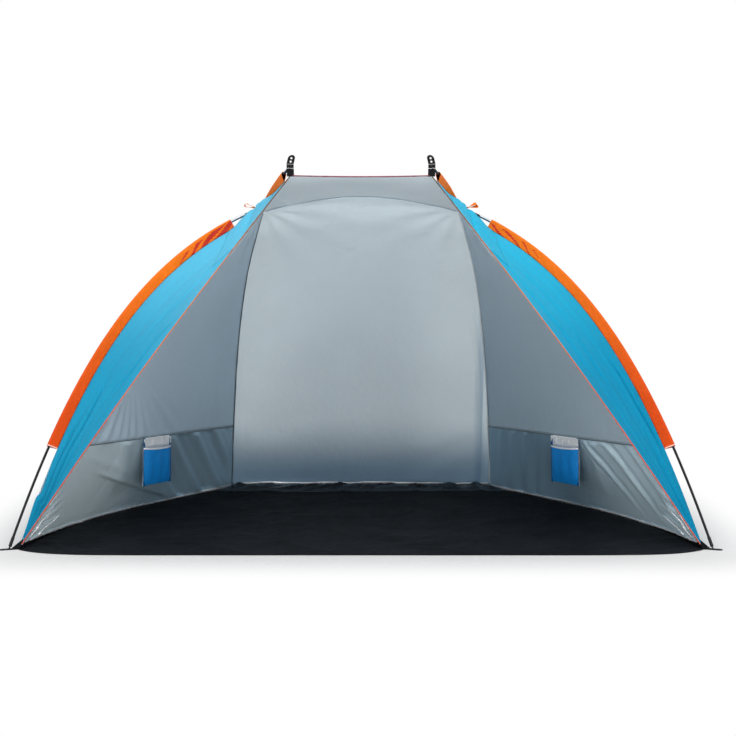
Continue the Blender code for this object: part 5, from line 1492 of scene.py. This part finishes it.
def ground_sheet():
    """The black sheet: smooth in the middle, puckered along the walls and bunched at the rear."""
    right = side_foot(FLOOR_ROWS)[::-1]
    runs = np.gradient(right, axis=0)
    outward = unit(np.stack([runs[:, 1], -runs[:, 0], np.zeros(len(runs))], axis=1))
    right = right + outward * FLOOR_MARGIN
    right[:, 2] = 0.0
    left = flip(right, LEFT)
    shares = np.linspace(-1.0, 1.0, FLOOR_COLUMNS + 1)
    corner = right[0]
    front = np.stack([corner[0] * shares,
                      corner[1] - FLOOR_MARGIN - FRONT_BOW * (1.0 - shares ** FRONT_SQUARENESS),
                      np.zeros(len(shares))], axis=1)
    front[0], front[-1] = left[0], right[0]
    rear = ruled(left[-1:], right[-1:], FLOOR_COLUMNS)[0]
    plain = coons(front, rear, left, right)
    s, t = lengths_along(plain)
    to_rear, to_side = t[-1:] - t, np.minimum(s, s[:, -1:] - s)
    creases = FLOOR_WAVE * np.clip(swell(s * 3.0, t * 3.0, 90), 0.0, None) \
        + FLOOR_CREASE * ridge(s * 3.5 + t * 4.0, t * 3.0 - s * 1.5, 91, 7.0) \
        + FLOOR_CROSS_CREASE * ridge(s * 2.0 - t * 5.0, t * 2.0, 97, 7.0) \
        + FLOOR_FINE_CREASE * ridge(s * 14.0, t * 14.0, 92, 3.0)
    bunch = BUNCH_BASE + BUNCH_HEIGHT * ridge(s * 13.0, t * 11.0, 93, 1.5) \
        + BUNCH_FINE * ridge(s * 31.0, t * 24.0, 94, 1.5)
    height = creases * smooth(to_side, 0.0, 0.06) * smooth(t, 0.0, 0.05)
    height += bunch * between(to_rear, 0.004, 0.03, 0.05, 0.17) * smooth(to_side, 0.0, 0.05)
    height += SIDE_BUNCH * ridge(t * 13.0, s * 5.0, 95, 2.5) * between(to_side, 0.006, 0.02, 0.03, 0.10)
    height += FRONT_ROLL * ridge(s * 3.0, t * 0.0, 96, 2.0) * fade(t, 0.0, 0.03)
    grid = plain + UP * (SHEET_PLASTIC / 2 + FLOOR_LIFT + height)[:, :, None]
    piece = lay("ground_cloth", grid, [BLACK_SHEET, BLACK_GLOSS], "ground_sheet", "ground_sheet",
                inside=np.array([0.0, 0.5, -1.0]), thickness=SHEET_PLASTIC)
    paint(piece, (to_rear < GLOSS_REACH)[:-1, :-1], 1)
    return piece, plain


def corner_wedge(side, grid, s, t):
    """The sheet's gathered front corner: drawn out to the pole's pin and up along the wall's foot."""
    word = SIDES[side]
    rows, outside, inside = 12, 14, 70
    v = np.linspace(0.0, 1.0, rows)
    base = hoop_seam.point(hoop_low)
    full = float(np.linalg.norm(hoop_seam.point(hoop_seam.length_at_height(WEDGE_HEIGHT)) - base))
    pin = hoop.point(TOE_LIFT)
    pin_end = pin + unit((base - pin) * np.array([1.0, 1.0, 0.0])) * WEDGE_PIN_GAP
    pin_end[2] = WEDGE_BASE
    pin_end = flip(pin_end, side)
    u = np.linspace(0.0, 1.0, inside) ** 1.4
    places = u * WEDGE_REACH
    standing = WEDGE_LONG_SHARE * (1.0 - u) ** 0.8 + (1.0 - WEDGE_LONG_SHARE) * np.exp(-places / WEDGE_TURN)
    standing = standing * (1.0 + 0.08 * np.sin(u * 61.0))
    heights = WEDGE_BASE - WALL_BASE + full * v[:, None] * standing[None]
    turned, from_front, high = grid[:, ::-1], (s[:, -1:] - s)[:, ::-1], t[:, ::-1]

    def spread(field):
        return np.array([[sheet_point(field[:, ::-1], from_front, high, place)
                          for place in zip(places, line)] for line in heights])

    away = spread(grid_normals(grid, INSIDE))
    out = np.linspace(0.0, 1.0, outside, endpoint=False)
    fold_share = np.concatenate([out, standing])[None, :]
    reach = np.concatenate([out * outside / inside, outside / inside + u])[None, :]
    up = v[:, None]
    folds = WEDGE_FOLD * (1.0 + turns(reach * 9.0 + up * 0.7)) * hump(up) \
        + WEDGE_RIPPLE * (1.0 + swell(reach * 19.0 + up * 0.0, up * 3.0 + reach * 0.0, 99 + side))
    inner = spread(grid)
    foot = pin_end + (inner[0, 0] - pin_end) * out[:, None]
    crest_start = pin_end + UP * WEDGE_CREST
    crest = crest_start + (inner[-1, 0] - crest_start) * (out ** 1.15)[:, None]
    outer = foot[None] + (crest - foot)[None] * v[:, None, None]
    turn = out[None, :, None]
    outer_away = unit(flip(np.array([1.0, -0.25, 0.0]), side)) * (1.0 - turn) + away[:, :1] * turn
    surface = np.concatenate([outer, inner], axis=1)
    aways = np.concatenate([np.broadcast_to(outer_away, outer.shape), away], axis=1)
    surface = surface - aways * (WEDGE_STAND + folds * fold_share)[:, :, None]
    corner = lay(f"ground_corner_{word}", surface, [BLACK_SHEET], "ground_sheet",
                 inside=flip(INSIDE, side), thickness=SHEET_PLASTIC)
    hem = wall_hem(f"corner_hem_{word}", turned, from_front, high, places[1:],
                   heights[-1, 1:] - CORNER_HEM_OVERLAP, 128 + side, CORNER_HEM_STAND)
    return corner, hem


def seam_flap(name, line, lean, width, material, seed):
    """The seam's raw edges inside the tent, bound together into one narrow standing strip."""
    still = np.zeros(len(line))
    share = np.linspace(0.0, 1.0, 6)[None, :, None]
    reach = reach_of(line)
    run = unit(np.gradient(line, axis=0))
    lean = np.broadcast_to(lean, line.shape)
    lean = unit(lean - run * np.einsum("ij,ij->i", lean, run)[:, None])
    aside = np.cross(run, lean)
    wave = FLAP_WAVE * swell(reach * 18.0, still, seed)
    width = width * (1.0 + 0.25 * swell(reach * 13.0, still, seed + 5))
    grid = line[:, None] + lean[:, None] * share * width[:, None, None] \
        + aside[:, None] * share * wave[:, None, None]
    lay(name, grid, [material], "silver_fabric", inside=grid - aside[:, None] * 0.01)


def seam_flaps():
    for side in (RIGHT, LEFT):
        word = SIDES[side]
        rear_line = flip(seam_points(pole_seam, pole_low + 0.004, pole_knot - 0.01, 200), side)
        width = REAR_FLAP_WIDTH + REAR_FLAP_EXTRA[side] * np.linspace(1.0, 0.0, len(rear_line))
        # Painted light: the right rear seam strip is pale silver as a painted highlight, the left one dark as
        # painted shade.
        seam_flap(f"rear_seam_flap_{word}", rear_line, np.array([-0.75 * side, -0.66, 0.0]), width,
                  SILVER_LIGHT if side == RIGHT else SILVER_PAINTED_SHADE, 101 + side)
        start, end = pole_seam.point(pole_wall), hoop_seam.point(hoop_wall)
        wall_line = ruled(start[None], end[None], 160)[0]
        aside = np.linalg.norm(wall_line - (start + (end - start) * POCKET_PLACE_SHARE), axis=1)
        width = WALL_FLAP_NARROW + WALL_FLAP_EXTRA * smooth(aside, POCKET_WIDTH * 0.50, POCKET_WIDTH * 0.58)
        seam_flap(f"wall_seam_flap_{word}", flip(wall_line, side), np.array([-0.45 * side, -0.1, -0.9]),
                  width, SILVER_PAINTED_SHADE, 104 + side)
    arch = seam_points(hoop_seam, hoop_knot + 0.01, hoop_seam.length - hoop_knot - 0.01, 160)
    seam_flap("arch_seam_flap", arch, np.array([0.0, -0.35, -0.94]), ARCH_FLAP_WIDTH, SILVER, 108)


rear_panel()
roof_panel()
floor, floor_plain = ground_sheet()
seam_flaps()
for side in (RIGHT, LEFT):
    word = SIDES[side]
    wing(side)
    lower_wall(side)
    upper_wall(side)
    pocket(side)
    sleeve("long", hoop, hoop_seam, hoop_places, LONG_SLEEVE_LOW, hoop.length / 2 - LONG_SLEEVE_HIGH, side,
           110 + side)
    sleeve("rear", pole, pole_seam, pole_places, REAR_SLEEVE_LOW, meeting - REAR_SLEEVE_HIGH, side,
           114 + side)
    sleeve("short", pole, pole_seam, pole_places, meeting + SHORT_SLEEVE_LOW,
           pole.length - SHORT_SLEEVE_HIGH, side, 118 + side)
    tie(side)
    top_tab(side)
    ground_tab(side, "front")
    ground_tab(side, "rear")
    section_pieces(f"rear_pole_{word}", pole, REAR_SECTIONS, side)
    tip_piece(f"rear_pole_{word}_foot", f"rear_pole_{word}_ground_tip", pole, side)
    tip_piece(f"rear_pole_{word}_end", f"rear_pole_{word}_top_tip", pole.reversed(), side)
section_pieces("front_pole", hoop, HOOP_SECTIONS, RIGHT, HOOP_JOINT_SHIFT)
tip_piece("front_pole_foot_right", "front_pole_tip_right", hoop, RIGHT)
tip_piece("front_pole_foot_left", "front_pole_tip_left", hoop.reversed(), RIGHT)


def studio_floor_finish():
    """Pale and shaded near the object, and white further off, as the background is."""
    nodes = Nodes("studio_floor")
    nodes.tree.nodes.remove(nodes.shader)
    diffuse = nodes.add("ShaderNodeBsdfDiffuse")
    diffuse.inputs["Color"].default_value = (FLOOR_TONE, FLOOR_TONE, FLOOR_TONE, 1.0)
    parts = nodes.split(nodes.place)
    beyond = []
    for axis, half in zip(("X", "Y"), SHADED_BOX):
        distance = nodes.math("SUBTRACT", nodes.math("ABSOLUTE", parts[axis]), half)
        distance = nodes.math("MAXIMUM", distance, 0.0)
        beyond.append(nodes.math("MULTIPLY", distance, distance))
    fade_out = nodes.add("ShaderNodeMapRange", interpolation_type="SMOOTHSTEP")
    fade_out.inputs["From Min"].default_value, fade_out.inputs["From Max"].default_value = SHADED_REACH
    nodes.join(nodes.math("SQRT", nodes.math("ADD", *beyond)), fade_out.inputs["Value"])
    rays = nodes.add("ShaderNodeLightPath").outputs
    seen = nodes.math("MAXIMUM", rays["Is Camera Ray"], rays["Is Glossy Ray"])
    seen = nodes.math("MAXIMUM", seen, rays["Is Transmission Ray"])
    mix = nodes.add("ShaderNodeMixShader")
    nodes.join(nodes.math("MULTIPLY", seen, fade_out.outputs[0]), mix.inputs[0])
    nodes.join(diffuse.outputs[0], mix.inputs[1])
    nodes.join(nodes.add("ShaderNodeEmission").outputs[0], mix.inputs[2])
    nodes.join(mix.outputs[0], nodes.output.inputs["Surface"])
    return nodes.material


def stage():
    """A pale floor that goes on as a white backdrop, and soft light from the front and above."""
    mesh = bpy.data.meshes.new("studio_floor")
    half = FLOOR_HALF
    mesh.from_pydata([(-half, -half, 0.0), (half, -half, 0.0), (half, half, 0.0), (-half, half, 0.0)], [],
                     [(0, 1, 2, 3)])
    mesh.materials.append(studio_floor_finish())
    floor = show("studio_floor", mesh)

    world = bpy.data.worlds.new("studio_light")
    bpy.context.scene.world = world
    world.use_nodes = True
    tree = world.node_tree
    background = tree.nodes["Background"]
    background.inputs["Color"].default_value = (1.0, 1.0, 1.0, 1.0)
    background.inputs["Strength"].default_value = 0.30
    white = tree.nodes.new("ShaderNodeBackground")
    white.inputs["Color"].default_value = (1.0, 1.0, 1.0, 1.0)
    rays = tree.nodes.new("ShaderNodeLightPath")
    mix = tree.nodes.new("ShaderNodeMixShader")
    seen = rays.outputs["Is Camera Ray"]
    for kind in ("Is Glossy Ray", "Is Transmission Ray"):
        either = tree.nodes.new("ShaderNodeMath")
        either.operation = "MAXIMUM"
        tree.links.new(seen, either.inputs[0])
        tree.links.new(rays.outputs[kind], either.inputs[1])
        seen = either.outputs[0]
    tree.links.new(seen, mix.inputs[0])
    tree.links.new(background.outputs[0], mix.inputs[1])
    tree.links.new(white.outputs[0], mix.inputs[2])
    tree.links.new(mix.outputs[0], tree.nodes["World Output"].inputs["Surface"])

    def lamp(name, place, target, size, power):
        data = bpy.data.lights.new(name, "AREA")
        data.shape = "RECTANGLE"
        data.size, data.size_y = size
        data.energy = power
        item = show(name, data)
        item.location = place
        item.rotation_euler = (Vector(target) - Vector(place)).to_track_quat("-Z", "Y").to_euler()

    lamp("front_light", (0.0, -6.0, 1.5), (0.0, 0.0, 0.6), (4.0, 2.0), 30.0)
    lamp("bounce_light", (0.0, -2.60, 0.03), (0.0, -2.40, 1.2), (3.4, 0.35), 90.0)
    lamp("sweep_light", (0.0, -2.9, 3.8), (0.0, -2.3, 0.0), (5.0, 3.2), 170.0)
    for side in (RIGHT, LEFT):
        lamp(f"side_light_{SIDES[side]}", (3.2 * side, -0.9, 1.9), (0.4 * side, -0.3, 0.8), (2.0, 1.6), 38.0)
    lamp("top_light", (0.0, 0.2, 3.8), (0.0, 0.0, 0.6), (3.4, 3.0), 60.0)


def camera():
    data = bpy.data.cameras.new("photo_camera")
    data.sensor_width = SENSOR
    data.lens = FOCAL_PIXELS / PHOTO_SIDE * SENSOR
    data.shift_x = (PHOTO_SIDE / 2 - OBJECT_MIDDLE_PIXEL) / PHOTO_SIDE
    item = show("photo_camera", data)
    item.location = (0.0, -CAMERA_DISTANCE + float(ORIGIN[1]), CAMERA_HEIGHT)
    item.rotation_euler = (math.radians(90.0 - CAMERA_PITCH), 0.0, 0.0)
    bpy.context.scene.camera = item


stage()
camera()
bpy.context.scene.view_settings.view_transform = "Standard"
